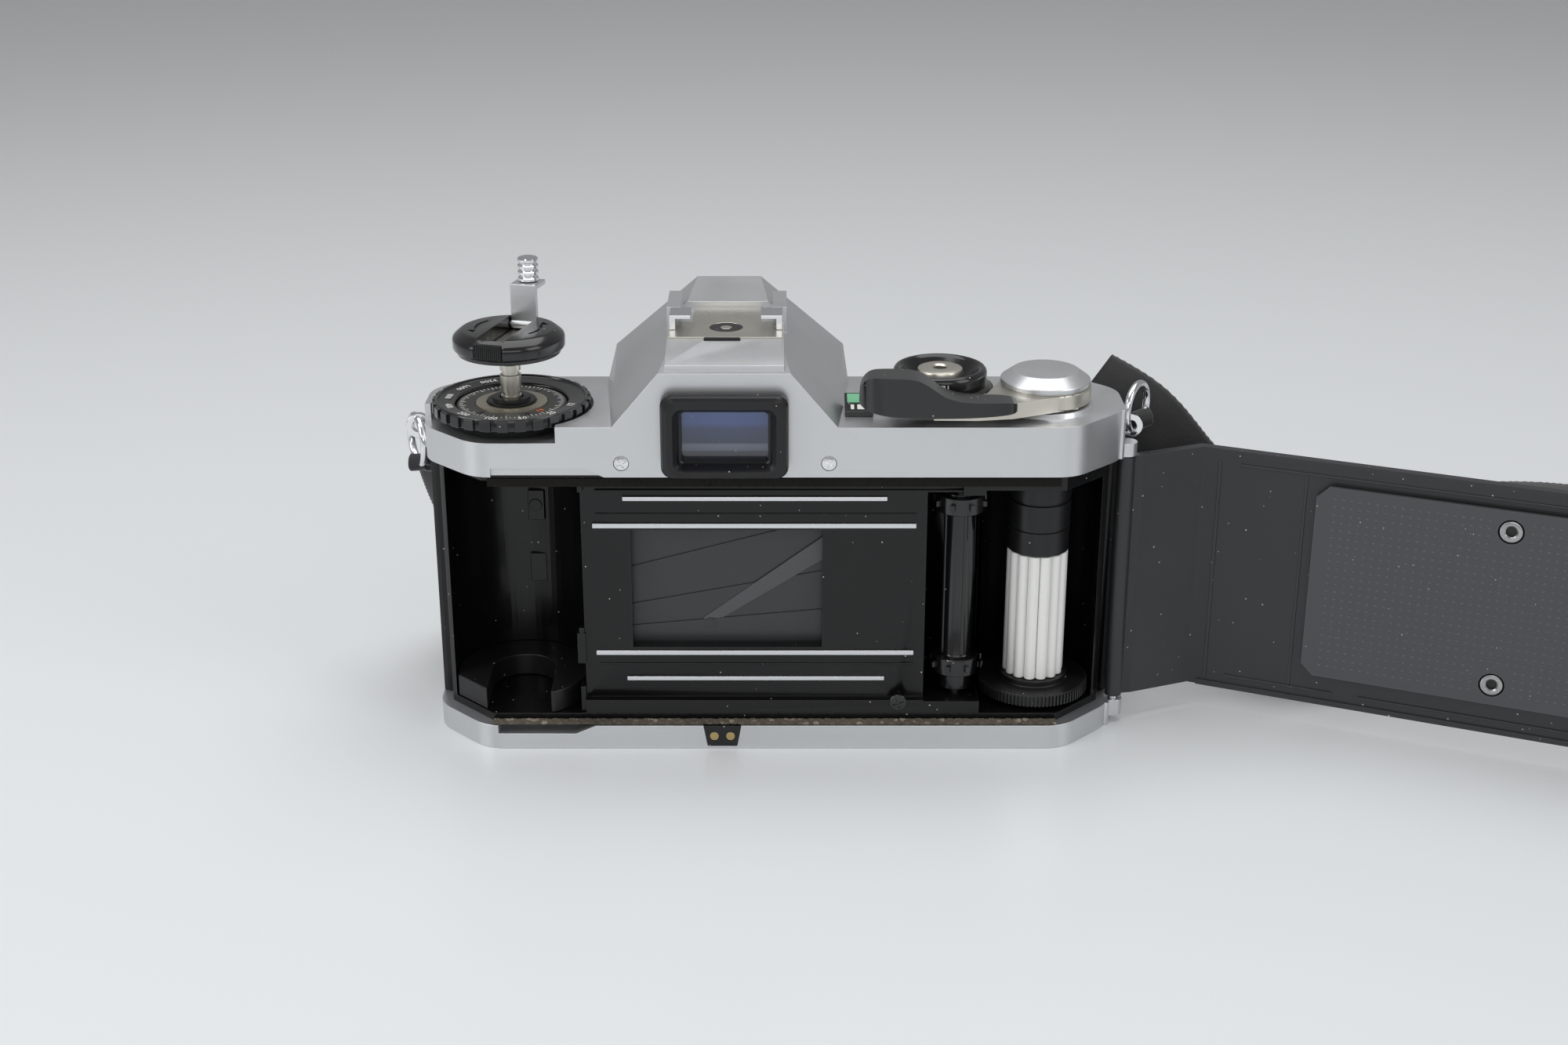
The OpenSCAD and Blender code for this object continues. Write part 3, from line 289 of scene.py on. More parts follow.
finishes = dict(
    satin_alloy=makeFinish("satinAlloy", (0.62, 0.63, 0.645), 0.34, metal=0.86, grainScale=2600,
        grainDepth=0.012, spread=0.05, tint=0.03, dustAmount=0.05, dustColour=(0.3, 0.28, 0.25)),
    black_paint=makeFinish("blackEnamel", (0.0035, 0.0035, 0.004), 0.24, grainScale=1500, grainDepth=0.006,
        spread=0.07, shine=0.3, dustAmount=0.10, wearAmount=0.8, wearColour=(0.06, 0.06, 0.06), coat=0.12),
    door_paint=makeFinish("doorEnamel", (0.022, 0.023, 0.025), 0.40, grainScale=1400, grainDepth=0.008,
        spread=0.06, dustAmount=0.10, wearAmount=0.6, wearColour=(0.13, 0.13, 0.13)),
    plate_black=makeFinish("plateBlack", (0.070, 0.071, 0.076), 0.36, metal=0.3, grainScale=1800,
        grainDepth=0.01, spread=0.05, dustAmount=0.09, wearAmount=0.4, wearColour=(0.25, 0.25, 0.26)),
    black_plastic=makeFinish("satinBlackPlastic", (0.008, 0.008, 0.009), 0.36, shine=0.4, grainScale=1500,
        grainDepth=0.01, spread=0.08, dustAmount=0.12, wearAmount=0.5, wearColour=(0.10, 0.10, 0.10)),
    gloss_black=makeFinish("glossBlackPlastic", (0.006, 0.006, 0.007), 0.20, shine=0.45, grainScale=1200,
        grainDepth=0.004, spread=0.08, dustAmount=0.10, wearAmount=0.5, wearColour=(0.12, 0.12, 0.12),
        coat=0.3),
    leatherette=makeFinish("pebbledCovering", (0.016, 0.016, 0.016), 0.55, grainScale=850, grainDepth=0.09,
        spread=0.08, dustAmount=0.08),
    nickel=makeFinish("satinNickel", (0.60, 0.575, 0.51), 0.30, metal=0.95, grainScale=2600,
        grainDepth=0.01, spread=0.07, tint=0.05, dustAmount=0.07, dustColour=(0.22, 0.2, 0.17)),
    bright_chrome=makeFinish("brightChrome", (0.74, 0.75, 0.77), 0.13, metal=1.0, grainScale=1500,
        grainDepth=0.003, spread=0.05, tint=0.02, dustAmount=0.05, dustColour=(0.25, 0.23, 0.2)),
    steel=makeFinish("turnedSteel", (0.40, 0.40, 0.40), 0.30, metal=1.0, grainScale=1800, grainDepth=0.01),
    rail_steel=makeFinish("groundRail", (0.66, 0.67, 0.69), 0.27, metal=1.0, grainScale=1600,
        grainDepth=0.012, stretch=(0.05, 1, 1), spread=0.06),
    white_plastic=makeFinish("whitePlastic", (0.82, 0.82, 0.80), 0.35, grainScale=1200, grainDepth=0.004,
        dustAmount=0.04, dustColour=(0.35, 0.33, 0.3), tint=0.02),
    brass=makeFinish("dullBrass", (0.48, 0.36, 0.17), 0.38, metal=0.95, grainScale=1800, grainDepth=0.01),
    clear_glass=makeFinish("clearGlass", (0.92, 0.95, 0.96), 0.03, glassy=1.0, ior=1.52, grainDepth=0.0,
        spread=0.01),
    # painted reflection: the bands of lighter and darker blue by height stand for reflections in the
    # eyepiece glass; the base blue is the coating's tint
    coated_glass=makeFinish("coatedGlassReflection", (0.030, 0.042, 0.095), 0.08, grainScale=300, grainDepth=0.0,
        spread=0.02, coat=0.9, tint=0.5, paintedReflectionBands=dict(low=0.0586, high=0.0684,
        paintedReflectionTones=[(0.0, (0.004, 0.005, 0.009)), (0.16, (0.02, 0.024, 0.04)), (0.2, (0.10, 0.12, 0.17)),
        (0.3, (0.13, 0.15, 0.21)), (0.34, (0.02, 0.03, 0.07)), (0.62, (0.03, 0.045, 0.12)),
        (0.72, (0.05, 0.09, 0.26)), (0.93, (0.06, 0.11, 0.30)), (1.0, (0.01, 0.012, 0.03))]),
        dustAmount=0.10, dustColour=(0.25, 0.27, 0.32)),
    mirror_glass=makeFinish("frontMirror", (0.86, 0.88, 0.90), 0.03, metal=1.0, grainDepth=0.0,
        spread=0.01),
    screen_matt=makeFinish("groundScreen", (0.80, 0.81, 0.79), 0.55, grainScale=3000, grainDepth=0.02),
    foam=makeFinish("perishedFoam", (0.10, 0.083, 0.062), 0.85, grainScale=700, grainDepth=0.1, tint=0.7,
        dustAmount=0.5, dustColour=(0.26, 0.22, 0.17)),
    webbing=makeFinish("ribbedWebbing", (0.014, 0.014, 0.015), 0.62, grainScale=2200, grainDepth=0.06,
        sheen=0.25, dustAmount=0.07, tint=0.2),
    circuit=makeFinish("boardGreen", (0.05, 0.13, 0.06), 0.4),
    dial_grey=makeFinish("turnedGrey", (0.060, 0.058, 0.054), 0.36, metal=0.4, grainScale=1500,
        grainDepth=0.01, spread=0.08, dustAmount=0.12),
    blade_grey=makeFinish("bladeGrey", (0.050, 0.052, 0.055), 0.34, metal=0.5, grainScale=1500,
        grainDepth=0.006, spread=0.05, dustAmount=0.05))
paintWhite = makeFinish("markWhite", (0.78, 0.78, 0.75), 0.5, grainDepth=0.0)
paintOrange = makeFinish("markOrange", (0.72, 0.16, 0.04), 0.5, grainDepth=0.0)
paintGreen = makeFinish("markGreen", (0.16, 0.46, 0.26), 0.45, grainDepth=0.0)
# painted shade: flat black that stands for the shadow in slots and hollows
shadeBlack = makeFinish("paintedShadeBlack", (0.012, 0.012, 0.012), 0.5, grainDepth=0.0)
creamRing = makeFinish("creamRing", (0.42, 0.39, 0.31), 0.34, metal=0.7, grainScale=1800, grainDepth=0.01,
    tint=0.12)
bladeLight = makeFinish("bladeLight", (0.085, 0.088, 0.092), 0.30, metal=0.5, grainScale=1500,
    grainDepth=0.006)
darkFoam = makeFinish("darkFoam", (0.010, 0.009, 0.008), 0.8, grainScale=700, grainDepth=0.1, shine=0.2)
print("finishes made")


# making and placing pieces
def addPiece(bm, name, host, slotName, nodes=(), bevel=0.0, segments=2, angle=30, smooth=35, flip=True,
        finish=None):
    if flip:
        bmesh.ops.remove_doubles(bm, verts=bm.verts, dist=0.0005)
        bmesh.ops.recalc_face_normals(bm, faces=bm.faces)
    bmesh.ops.scale(bm, vec=(0.001, 0.001, 0.001), verts=bm.verts)
    mesh = bpy.data.meshes.new(name)
    bm.to_mesh(mesh)
    bm.free()
    mesh.materials.append(finish or finishes[slotName])
    mesh.shade_smooth()
    mesh.set_sharp_from_angle(angle=math.radians(smooth))
    piece = bpy.data.objects.new(name, mesh)
    scene.collection.objects.link(piece)
    if bevel:
        edge = piece.modifiers.new("softEdges", "BEVEL")
        edge.width = bevel * 0.001
        edge.segments = segments
        edge.limit_method = "ANGLE"
        edge.angle_limit = math.radians(angle)
        edge.harden_normals = True
        edge.use_clamp_overlap = True
    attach(piece, host)
    if nodes:
        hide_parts(*nodes)
    return piece


def copyNode(node, tidy=True):
    bm = bmesh.new()
    bm.from_mesh(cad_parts[node].data)
    bmesh.ops.scale(bm, vec=(1000, 1000, 1000), verts=bm.verts)
    if not tidy:
        return bm
    bmesh.ops.remove_doubles(bm, verts=bm.verts, dist=0.002)
    bmesh.ops.dissolve_limit(bm, angle_limit=math.radians(0.6), verts=bm.verts, edges=bm.edges,
        delimit={"NORMAL"})
    return bm


def refine(node, host, slotName, bevel=0.25, segments=2, angle=32, rounding=None, finish=None, outline=None):
    bm = copyNode(node, not outline)
    if outline:
        bm = joinBodies(bm, outline, "INTERSECT")
    if rounding:
        pick, width, steps = rounding
        edges = [e for e in bm.edges if len(e.link_faces) == 2 and e.calc_face_angle(0) > 0.3 and pick(e)]
        bmesh.ops.bevel(bm, geom=edges, offset=width, segments=steps, profile=0.5, affect="EDGES",
            material=-1, clamp_overlap=True)
    return addPiece(bm, node + "Piece", host, slotName, [node], bevel, segments, angle, flip=False,
        finish=finish)


def turnZ(bm, angle, verts):
    bmesh.ops.rotate(bm, matrix=Matrix.Rotation(angle, 3, "Z"), verts=verts)


def shift(bm, way, verts):
    bmesh.ops.translate(bm, vec=way, verts=verts)


def pullFace(bm, face, way):
    out = bmesh.ops.extrude_face_region(bm, geom=[face])
    shift(bm, way, [v for v in out["geom"] if isinstance(v, bmesh.types.BMVert)])


def skinRings(bm, rings):
    for a, b in zip(rings, rings[1:]):
        for j in range(len(a)):
            bm.faces.new((a[j - 1], b[j - 1], b[j], a[j]))


def smoothBetween(a, b, c, d, t):
    bend, twist = 2 * a - 5 * b + 4 * c - d, 3 * b - a - 3 * c + d
    return 0.5 * (2 * b + (c - a) * t + bend * t * t + twist * t ** 3)


def boxIn(bm, x0, x1, y0, y1, z0, z1):
    made = bmesh.ops.create_cube(bm, size=1)["verts"]
    bmesh.ops.scale(bm, vec=(x1 - x0, y1 - y0, z1 - z0), verts=made)
    shift(bm, ((x0 + x1) / 2, (y0 + y1) / 2, (z0 + z1) / 2), made)
    return made


def rodIn(bm, radius, start, end, segments=32):
    start, end = Vector(start), Vector(end)
    way = end - start
    made = bmesh.ops.create_cone(bm, cap_ends=True, segments=segments, radius1=radius, radius2=radius,
        depth=way.length)["verts"]
    bmesh.ops.rotate(bm, matrix=Vector((0, 0, 1)).rotation_difference(way).to_matrix(), verts=made)
    shift(bm, (start + end) / 2, made)
    return made


def lathe(profile, centre, segments=64):
    bm = bmesh.new()
    made = [bm.verts.new((r, 0, z)) for r, z in profile]
    edges = [bm.edges.new((a, b)) for a, b in zip(made, made[1:])]
    bmesh.ops.spin(bm, geom=made + edges, cent=(0, 0, 0), axis=(0, 0, 1), angle=math.tau, steps=segments,
        use_merge=True)
    bmesh.ops.remove_doubles(bm, verts=bm.verts, dist=0.0005)
    shift(bm, (centre[0], centre[1], 0), bm.verts)
    return bm


def toothRing(bm, count, centre, r0, r1, z0, z1, width, skip=0.0):
    for k in range(count):
        made = boxIn(bm, r0, r1, -width / 2, width / 2, z0, z1)
        turnZ(bm, math.tau * (k + skip) / count, made)
        shift(bm, (centre[0], centre[1], 0), made)


def extrudeOutline(points, z0, z1):
    bm = bmesh.new()
    face = bm.faces.new([bm.verts.new((x, y, z0)) for x, y in points])
    pullFace(bm, face, (0, 0, z1 - z0))
    return bm


def turnTo(bm, place, way):
    bmesh.ops.rotate(bm, matrix=Vector((0, 0, 1)).rotation_difference(Vector(way)).to_matrix(),
        verts=bm.verts)
    shift(bm, Vector(place), bm.verts)
    return bm


def joinBodies(bm, tool, mode="DIFFERENCE"):
    made = []
    for part in (bm, tool):
        bmesh.ops.remove_doubles(part, verts=part.verts, dist=0.0005)
        bmesh.ops.recalc_face_normals(part, faces=part.faces)
        mesh = bpy.data.meshes.new("temp")
        part.to_mesh(mesh)
        part.free()
        made.append(bpy.data.objects.new("temp", mesh))
        scene.collection.objects.link(made[-1])
    cut = made[0].modifiers.new("cut", "BOOLEAN")
    cut.operation = mode
    cut.solver = "EXACT"
    cut.object = made[1]
    bpy.context.view_layer.update()
    seen = made[0].evaluated_get(bpy.context.evaluated_depsgraph_get())
    out = bmesh.new()
    out.from_mesh(seen.to_mesh())
    for part in made:
        mesh = part.data
        bpy.data.objects.remove(part)
        bpy.data.meshes.remove(mesh)
    bmesh.ops.dissolve_limit(out, angle_limit=math.radians(0.3), verts=out.verts, edges=out.edges)
    return out


def openDoor(bm):
    bmesh.ops.rotate(bm, matrix=Matrix.Rotation(doorOpen, 3, "Z"), cent=hinge, verts=bm.verts)
    return bm


def writeMark(name, words, size, place, turn, finish, host, depth=0.05):
    curve = bpy.data.curves.new(name, "FONT")
    curve.body = words
    curve.size = size * 0.001
    curve.extrude = depth * 0.0005
    curve.resolution_u = 2
    curve.align_x = "CENTER"
    curve.align_y = "CENTER"
    temp = bpy.data.objects.new(name + "Curve", curve)
    scene.collection.objects.link(temp)
    bpy.context.view_layer.update()
    mesh = bpy.data.meshes.new_from_object(temp)
    bpy.data.objects.remove(temp)
    mesh.name = name
    move = Matrix.Translation(Vector(place) * 0.001) @ turn.to_4x4()
    mesh.transform(move)
    mesh.materials.clear()
    mesh.materials.append(finish)
    piece = bpy.data.objects.new(name, mesh)
    scene.collection.objects.link(piece)
    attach(piece, host)
    return piece


# plain refined pieces
def isUpright(e):
    a, b = e.verts
    return abs(a.co.z - b.co.z) > 4 and (a.co - b.co).xy.length < 0.4


plainPieces = dict(
    camera=[("body_casting", "black_paint", 0.22), ("cassette_cradle", "black_plastic", 0.5),
        ("film_rails", "rail_steel", 0.16), ("shutter_plate", "black_paint", 0.1),
        ("film_spindles", "steel", 0.15),
        ("contact_plate", "black_plastic", 0.12), ("leather_left", "leatherette", 0.2),
        ("leather_right", "leatherette", 0.2), ("mirror_box", "black_paint", 0.2),
        ("focusing_screen", "screen_matt", 0.1),
        ("pentaprism", "clear_glass", 0.3), ("shoe_plate", "nickel", 0.08),
        ("shoe_contact", "black_plastic", 0.08),
        ("shoe_rails", "bright_chrome", 0.14), ("circuit_board", "circuit", 0.1),
        ("strap_lugs", "bright_chrome", 0.25)],
    back_door=[("door_skin", "leatherette", 0.15), ("plate_spring", "steel", 0.02)],
    rewind_slider=[("rewind_clip", "steel", 0.1)], reflex_mirror=[("reflex_mirror", "mirror_glass", 0.1)],
    )
for host, rows in plainPieces.items():
    for node, slotName, width in rows:
        refine(node, host, slotName, bevel=width)
refine("crank_arm", "rewind_crank", "bright_chrome", bevel=0.22, finish=finishes["satin_alloy"])
print("plain pieces made")


# turned pieces: radius and height pairs, foot, direction
up, ahead = (0, 0, 1), (0, 1, 0)
turned = [
    ("rewindShaftPiece", "nickel", "rewind_spindle", ["rewind_shaft"], rewindAxis, up,
        [(0, 51.1), (1.8, 51.1), (1.95, 51.3), (1.95, 54.9), (2.5, 54.95), (2.5, 58.5), (1.45, 58.55),
        (1.45, 59.85),
        (1.95, 59.9), (1.95, 67.1), (1.6, 67.2), (1.6, 67.9), (1.95, 68.0), (1.95, 71.1), (1.6, 71.2),
        (1.6, 71.9),
        (1.95, 72.0), (1.95, 73.1), (1.6, 73.2), (1.6, 73.9), (1.95, 74.0), (1.95, 76.0), (0, 76.0)]),
    ("dialCollarPiece", "black_plastic", "camera", ["dial_collar"], rewindAxis, up,
        [(2.2, 60.1), (3.35, 60.1), (3.35, 65.9), (4.45, 65.9), (4.55, 66.0), (4.55, 66.25), (4.4, 66.35),
        (3.7, 66.35), (3.6, 66.45), (3.55, 66.8), (3.4, 66.85), (2.35, 66.85), (2.2, 66.7), (2.2, 60.1)]),
    ("crankFingerPiece", "bright_chrome", "crank_knob", ["crank_finger"], None, up,
        [(0, -1.5), (1.15, -1.5), (1.2, -1.4), (1.2, -1.1), (1.1, -1.0), (0.6, -1.0), (0.6, 0.1),
        (1.7, 0.1),
        (1.95, 0.3), (1.95, 0.75), (1.8, 0.9), (1.5, 0.95), (1.5, 1.25), (1.8, 1.3), (1.95, 1.45),
        (1.95, 1.95),
        (1.8, 2.1), (1.5, 2.15), (1.5, 2.45), (1.8, 2.5), (1.95, 2.65), (1.95, 3.15), (1.8, 3.3),
        (1.5, 3.35),
        (1.5, 3.65), (1.8, 3.7), (1.95, 3.9), (1.95, 4.35), (1.75, 4.6), (1.2, 4.75), (0, 4.8)]),
    ("hingePinPiece", "bright_chrome", "camera", ["hinge_pin"], hinge, up,
        [(0, 2.4), (0.8, 2.4), (0.9, 2.5), (0.9, 57.3), (0.75, 57.5), (0, 57.5)]),
    ("tripodBushPiece", "steel", "camera", ["tripod_bush"], (0, 0, 0), up,
        [(2.9, 0), (5.4, 0), (5.5, 0.1), (5.5, 10), (0, 10), (0, 7)] + [(2.6 + 0.22 * (k % 2),
        6.9 - k * 0.35) for k in range(19)] + [(2.6, 0.3), (2.9, 0)]),
    ("syncSocketPiece", "brass", "camera", ["sync_socket"], (-38, 13.5, 41.47), ahead,
        [(0, 0), (2.6, 0), (2.6, 1.9), (2.4, 2.2), (1.5, 2.2), (1.3, 2.0), (1.3, 0.6), (0, 0.6)]),
    ("lensReleasePiece", "satin_alloy", "lens_release", ["lens_release"], (-37, 14.5, 23.47), ahead,
        [(0, -1.9), (2.9, -1.9), (3.0, -1.8), (3.0, 3.1), (2.8, 3.5), (2.3, 3.75), (1.6, 3.8), (0, 3.6)]),
    ("rewindReleasePiece", "gloss_black", "rewind_release", ["rewind_release"], (44, 4, 0), up,
        [(0, 0.8), (1.3, 0.8), (1.4, 0.7), (1.5, 0.55), (2.2, 0.5), (2.4, 0.7), (2.4, 4.94), (3.1, 4.94),
        (3.1, 5.74), (2.4, 5.74), (2.4, 6.0), (0, 6.0)]),
    ("batteryPiece", "bright_chrome", "camera", ["battery"], (-22, 2, 0), up,
        [(0, 2.1), (5.5, 2.1), (5.8, 2.3), (5.8, 6.2), (5.4, 6.4), (5.4, 6.5), (5.8, 6.7), (5.8, 10.5),
        (5.5, 10.8), (0, 10.8)])]
for name, slotName, host, nodes, foot, way, profile in turned:
    bm = lathe(profile, (0, 0), 72)
    if foot is None:
        foot = rewindAxis + Vector((math.sin(crankTurn) * 10.5, math.cos(crankTurn) * 10.5, 86.2))
    turnTo(bm, foot, way)
    addPiece(bm, name, host, slotName, nodes, smooth=32)


def gather(bm, part):
    temp = bpy.data.meshes.new("temp")
    part.to_mesh(temp)
    part.free()
    bm.from_mesh(temp)
    bpy.data.meshes.remove(temp)


def crossTool(half, slot, low, high, at=(0, 0)):
    outline = [(half, -slot), (half, slot), (slot, slot), (slot, half), (-slot, half), (-slot, slot),
        (-half, slot), (-half, -slot), (-slot, -slot), (-slot, -half), (slot, -half), (slot, -slot)]
    return extrudeOutline([(at[0] + x, at[1] + y) for x, y in outline], low, high)


def screwPiece(bm, radius, shank, length, foot, turn):
    made = bmesh.new()
    for r, a, b in ((shank, 0.0, length), (radius - 0.06, 0.08, 0.4)):
        rodIn(made, r, (0, 0, -b), (0, 0, -a), 40)
    head = lathe([(0, -0.1), (radius, -0.1), (radius, 0.05), (radius * 0.93, 0.18), (radius * 0.6, 0.27),
        (0, 0.3)], (0, 0), 48)
    head = joinBodies(head, crossTool(radius * 0.64, 0.19, -0.06, 1))
    for part in (head, made):
        turnZ(part, turn, part.verts)
        turnTo(part, foot, (0, -1, 0))
        gather(bm, part)


def makeScrews():
    screws = bmesh.new()
    screwPiece(screws, 1.4, 0.8, 2.4, (-19, -16.3, 58.2), 0.5)
    screwPiece(screws, 1.4, 0.8, 2.4, (19, -16.3, 58.2), 1.1)
    addPiece(screws, "coverScrewsPiece", "camera", "bright_chrome", ["cover_screws"], bevel=0.05,
        flip=False)
    screws = bmesh.new()
    screwPiece(screws, 1.7, 1.0, 3.4, (32.65, -14.12, 8.6), 0.35)
    addPiece(screws, "castingScrewPiece", "camera", "gloss_black", bevel=0.05, flip=False)


makeScrews()


def makeRings():
    for name, place, turn in (("right", (78.1, 4.4, 62.1), -32), ("left", (-59.6, 4.4, 55.7), 25)):
        bm = lathe([(4.6 + 0.75 * math.cos(math.tau * k / 20), 0.75 * math.sin(math.tau * k / 20))
            for k in range(21)], (0, 0), 72)
        bmesh.ops.rotate(bm, matrix=Matrix.Rotation(math.radians(turn), 3,
            "Z") @ Matrix.Rotation(math.pi / 2, 3, "Y"), verts=bm.verts)
        shift(bm, Vector(place), bm.verts)
        addPiece(bm, name + "RingPiece", "camera", "bright_chrome",
            ["strap_rings"] if name == "right" else [], smooth=80)


makeRings()


# lens mount
lensMount = dict(throat=24.0, outer=28.2, flange=32.71, ring=3.5, screws=(15, 105, 195, 285, 335),
    lugs=(40, 160, 280))


def makeLensMount():
    m = lensMount
    f, t, r, o = m["flange"], m["ring"], m["throat"], m["outer"]
    bm = lathe([(r, f - t), (o - 0.2, f - t), (o, f - t + 0.2), (o, f - 0.5), (o - 0.3, f - 0.2),
        (o - 0.9, f - 0.15), (o - 1.0, f), (r + 0.3, f), (r, f - 0.25), (r, f - t)], (0, 0), 144)
    for a in m["lugs"]:
        tool = lathe([(10, f - 2.2), (r + 1.2, f - 2.2), (r + 1.2, f + 1), (10, f + 1), (10, f - 2.2)],
            (0, 0), 144)
        wedge = bmesh.new()
        made = boxIn(wedge, 0, 40, -5, 5, f - 4, f + 4)
        turnZ(wedge, math.radians(a), made)
        bm = joinBodies(bm, joinBodies(tool, wedge, "INTERSECT"))
    heads = bmesh.new()
    for a in m["screws"]:
        at = Matrix.Rotation(math.radians(a), 3, "Z") @ Vector((26.4, 0, 0))
        hole = bmesh.new()
        rodIn(hole, 0.9, (at.x, at.y, f - 0.8), (at.x, at.y, f + 1), 32)
        bm = joinBodies(bm, hole)
        head = bmesh.new()
        rodIn(head, 0.85, (at.x, at.y, f - 0.8), (at.x, at.y, f - 0.3), 32)
        gather(heads, joinBodies(head, crossTool(0.55, 0.12, f - 0.5, f, at)))
    addPiece(turnTo(heads, (0, 0, filmZ), ahead), "mountScrewsPiece", "camera", "steel", bevel=0.04)
    addPiece(turnTo(bm, (0, 0, filmZ), ahead), "lensMountPiece", "camera", "bright_chrome", ["lens_mount"],
        bevel=0.08, flip=False)
    bm = lathe([(24.7, 14.5), (o, 14.5), (o, f - t - 0.4), (o - 0.12, f - t - 0.1), (o - 0.4, f - t),
        (24.7, f - t), (24.7, 14.5)], (0, 0), 144)
    addPiece(turnTo(bm, (0, 0, filmZ), ahead), "mountCollarPiece", "camera", "satin_alloy",
        ["mount_housing"])
    block = extrudeOutline([(-34, 13.5), (-26.5, 24.6), (-25.2, 25.9), (-23.5, 26.2), (23.5, 26.2),
        (25.2, 25.9), (26.5, 24.6), (34, 13.5)], 6.24, 54.9)
    throat = bmesh.new()
    rodIn(throat, 27.0, (0, 0, filmZ), (0, 60, filmZ), 144)
    addPiece(joinBodies(block, throat), "mountHousingPiece", "camera", "satin_alloy", bevel=0.5, segments=3,
        angle=28, flip=False)


makeLensMount()


def makeTimerAndCover():
    bm = lathe([(0, -5), (1.5, -5), (1.5, 0.3), (4.0, 0.3), (4.2, 0.5), (4.2, 2.7), (3.9, 3.1), (3.4, 3.2),
        (0, 3.2)], (0, 0), 72)
    arm = extrudeOutline([(-2.2, 0), (-1.6, 13.6), (-1.1, 14.7), (0, 15), (1.1, 14.7), (1.6, 13.6),
        (2.2, 0)], 0.9, 2.9)
    bm = joinBodies(bm, arm, "UNION")
    bmesh.ops.rotate(bm, matrix=Matrix.Rotation(-math.pi / 2, 3, "X"), verts=bm.verts)
    shift(bm, (45, 14.5, 33.47), bm.verts)
    addPiece(bm, "selfTimerPiece", "self_timer", "gloss_black", ["self_timer_lever"], bevel=0.3, segments=3)
    bm = lathe([(0, 0.1), (7.7, 0.1), (8, 0.4), (8, 2.0), (0, 2.0)], (-22, 2), 96)
    slit = bmesh.new()
    boxIn(slit, -28, -16, 1.2, 2.8, -1, 1.1)
    bm = joinBodies(bm, slit)
    addPiece(bm, "batteryCoverPiece", "battery_cover", "satin_alloy", ["battery_cover"], bevel=0.12,
        flip=False)
    bm = bmesh.new()
    for x in (-2.6, 0.5):
        rodIn(bm, 0.9, (x, -16.5, 2.6), (x, -14.7, 2.6), 32)
    addPiece(bm, "winderContactsPiece", "camera", "brass", ["winder_contacts"], bevel=0.15)


makeTimerAndCover()
print("turned pieces made")


# covers
def softOutline(cut, z0, z1):
    b = body
    x0, x1, y0, y1 = b["left"], b["right"], b["rear"], b["front"]
    corners = [(x0 + 10.4, y0), (x1 - 10.4, y0), (x1, y0 + 10.4), (x1, y1 - 8), (x1 - 8, y1), (x0 + 8, y1),
        (x0, y1 - 8), (x0, y0 + 10.4)]
    points = []
    for k, here in enumerate(corners):
        here = Vector(here)
        before, after = Vector(corners[k - 1]), Vector(corners[(k + 1) % len(corners)])
        a = here + (before - here).normalized() * cut
        c = here + (after - here).normalized() * cut
        points += [a * (1 - t) ** 2 + here * 2 * t * (1 - t) + c * t * t
            for t in (0, 0.15, 0.3, 0.45, 0.55, 0.7, 0.85, 1)]
    bm = extrudeOutline([tuple(p) for p in points], z0, z1)
    for space in ((-30, 30, -10, 45, z0, z1), (70, 80, -6.5, -0.5, z0, z1)):
        tool = bmesh.new()
        boxIn(tool, *space)
        bm = joinBodies(bm, tool, "UNION")
    return bm


refine("top_cover", "camera", "satin_alloy", bevel=0.5, segments=3, angle=24,
    outline=softOutline(3.4, 50, 95))
refine("base_plate", "camera", "satin_alloy", bevel=0.4, segments=3, angle=28,
    outline=softOutline(3.4, -5, 10))


# eyepiece
eyepiece = dict(halfWidth=11.6, low=56.2, high=72.05, back=-20.0, corner=2.2, windowHalf=7.9,
    windowLow=58.6, windowHigh=68.4)


def roundedFrame(bm, half, low, high, y, corner, steps=6):
    ring = []
    for cx, cz, start in ((half - corner, high - corner, 0), (-half + corner, high - corner, 90),
            (-half + corner, low + corner, 180), (half - corner, low + corner, 270)):
        for k in range(steps + 1):
            a = math.radians(start + 90 * k / steps)
            ring.append(bm.verts.new((cx + corner * math.cos(a), y, cz + corner * math.sin(a))))
    return ring


def makeEyepiece():
    e = eyepiece
    bm = bmesh.new()
    wide, low, high = e["halfWidth"], e["low"], e["high"]
    win, wl, wh = e["windowHalf"], e["windowLow"], e["windowHigh"]
    loops = [
        roundedFrame(bm, wide - 0.9, low + 0.6, high - 0.6, -16.45, e["corner"]),
        roundedFrame(bm, wide, low, high, -17.3, e["corner"]),
        roundedFrame(bm, wide, low, high, -18.9, e["corner"]),
        roundedFrame(bm, wide - 0.35, low + 0.3, high - 0.3, -19.6, e["corner"]),
        roundedFrame(bm, wide - 1.1, low + 0.9, high - 0.9, e["back"], e["corner"]),
        roundedFrame(bm, win + 1.5, wl - 1.0, wh + 1.3, e["back"] + 0.1, 1.9),
        roundedFrame(bm, win + 0.8, wl - 0.5, wh + 0.8, e["back"] + 0.9, 1.5),
        roundedFrame(bm, win + 0.45, wl - 0.2, wh + 0.4, -17.6, 1.1),
        roundedFrame(bm, win, wl, wh, -17.3, 0.8),
        roundedFrame(bm, win, wl, wh, -15.62, 0.8),
        roundedFrame(bm, 8.85, wl - 0.55, wh + 0.55, -15.6, 0.8),
        roundedFrame(bm, 8.85, wl - 0.55, wh + 0.55, -13.1, 0.8),
        roundedFrame(bm, 9.9, low + 1.05, high - 2.3, -13.1, 1.2),
        roundedFrame(bm, 9.9, low + 1.05, high - 2.3, -16.45, 1.2)]
    skinRings(bm, loops + loops[:1])
    addPiece(bm, "eyepieceFramePiece", "camera", "black_plastic", ["eyepiece_frame"], smooth=28)


makeEyepiece()
refine("eyepiece_glass", "camera", "coated_glass", bevel=0.15)


# film speed ring and the disc inside it
speedRing = dict(radius=14.75, teeth=28, low=62.8, rimLow=64.45, rimTop=66.75, inner=10.5, seatTop=66.1,
    numberSize=1.75)


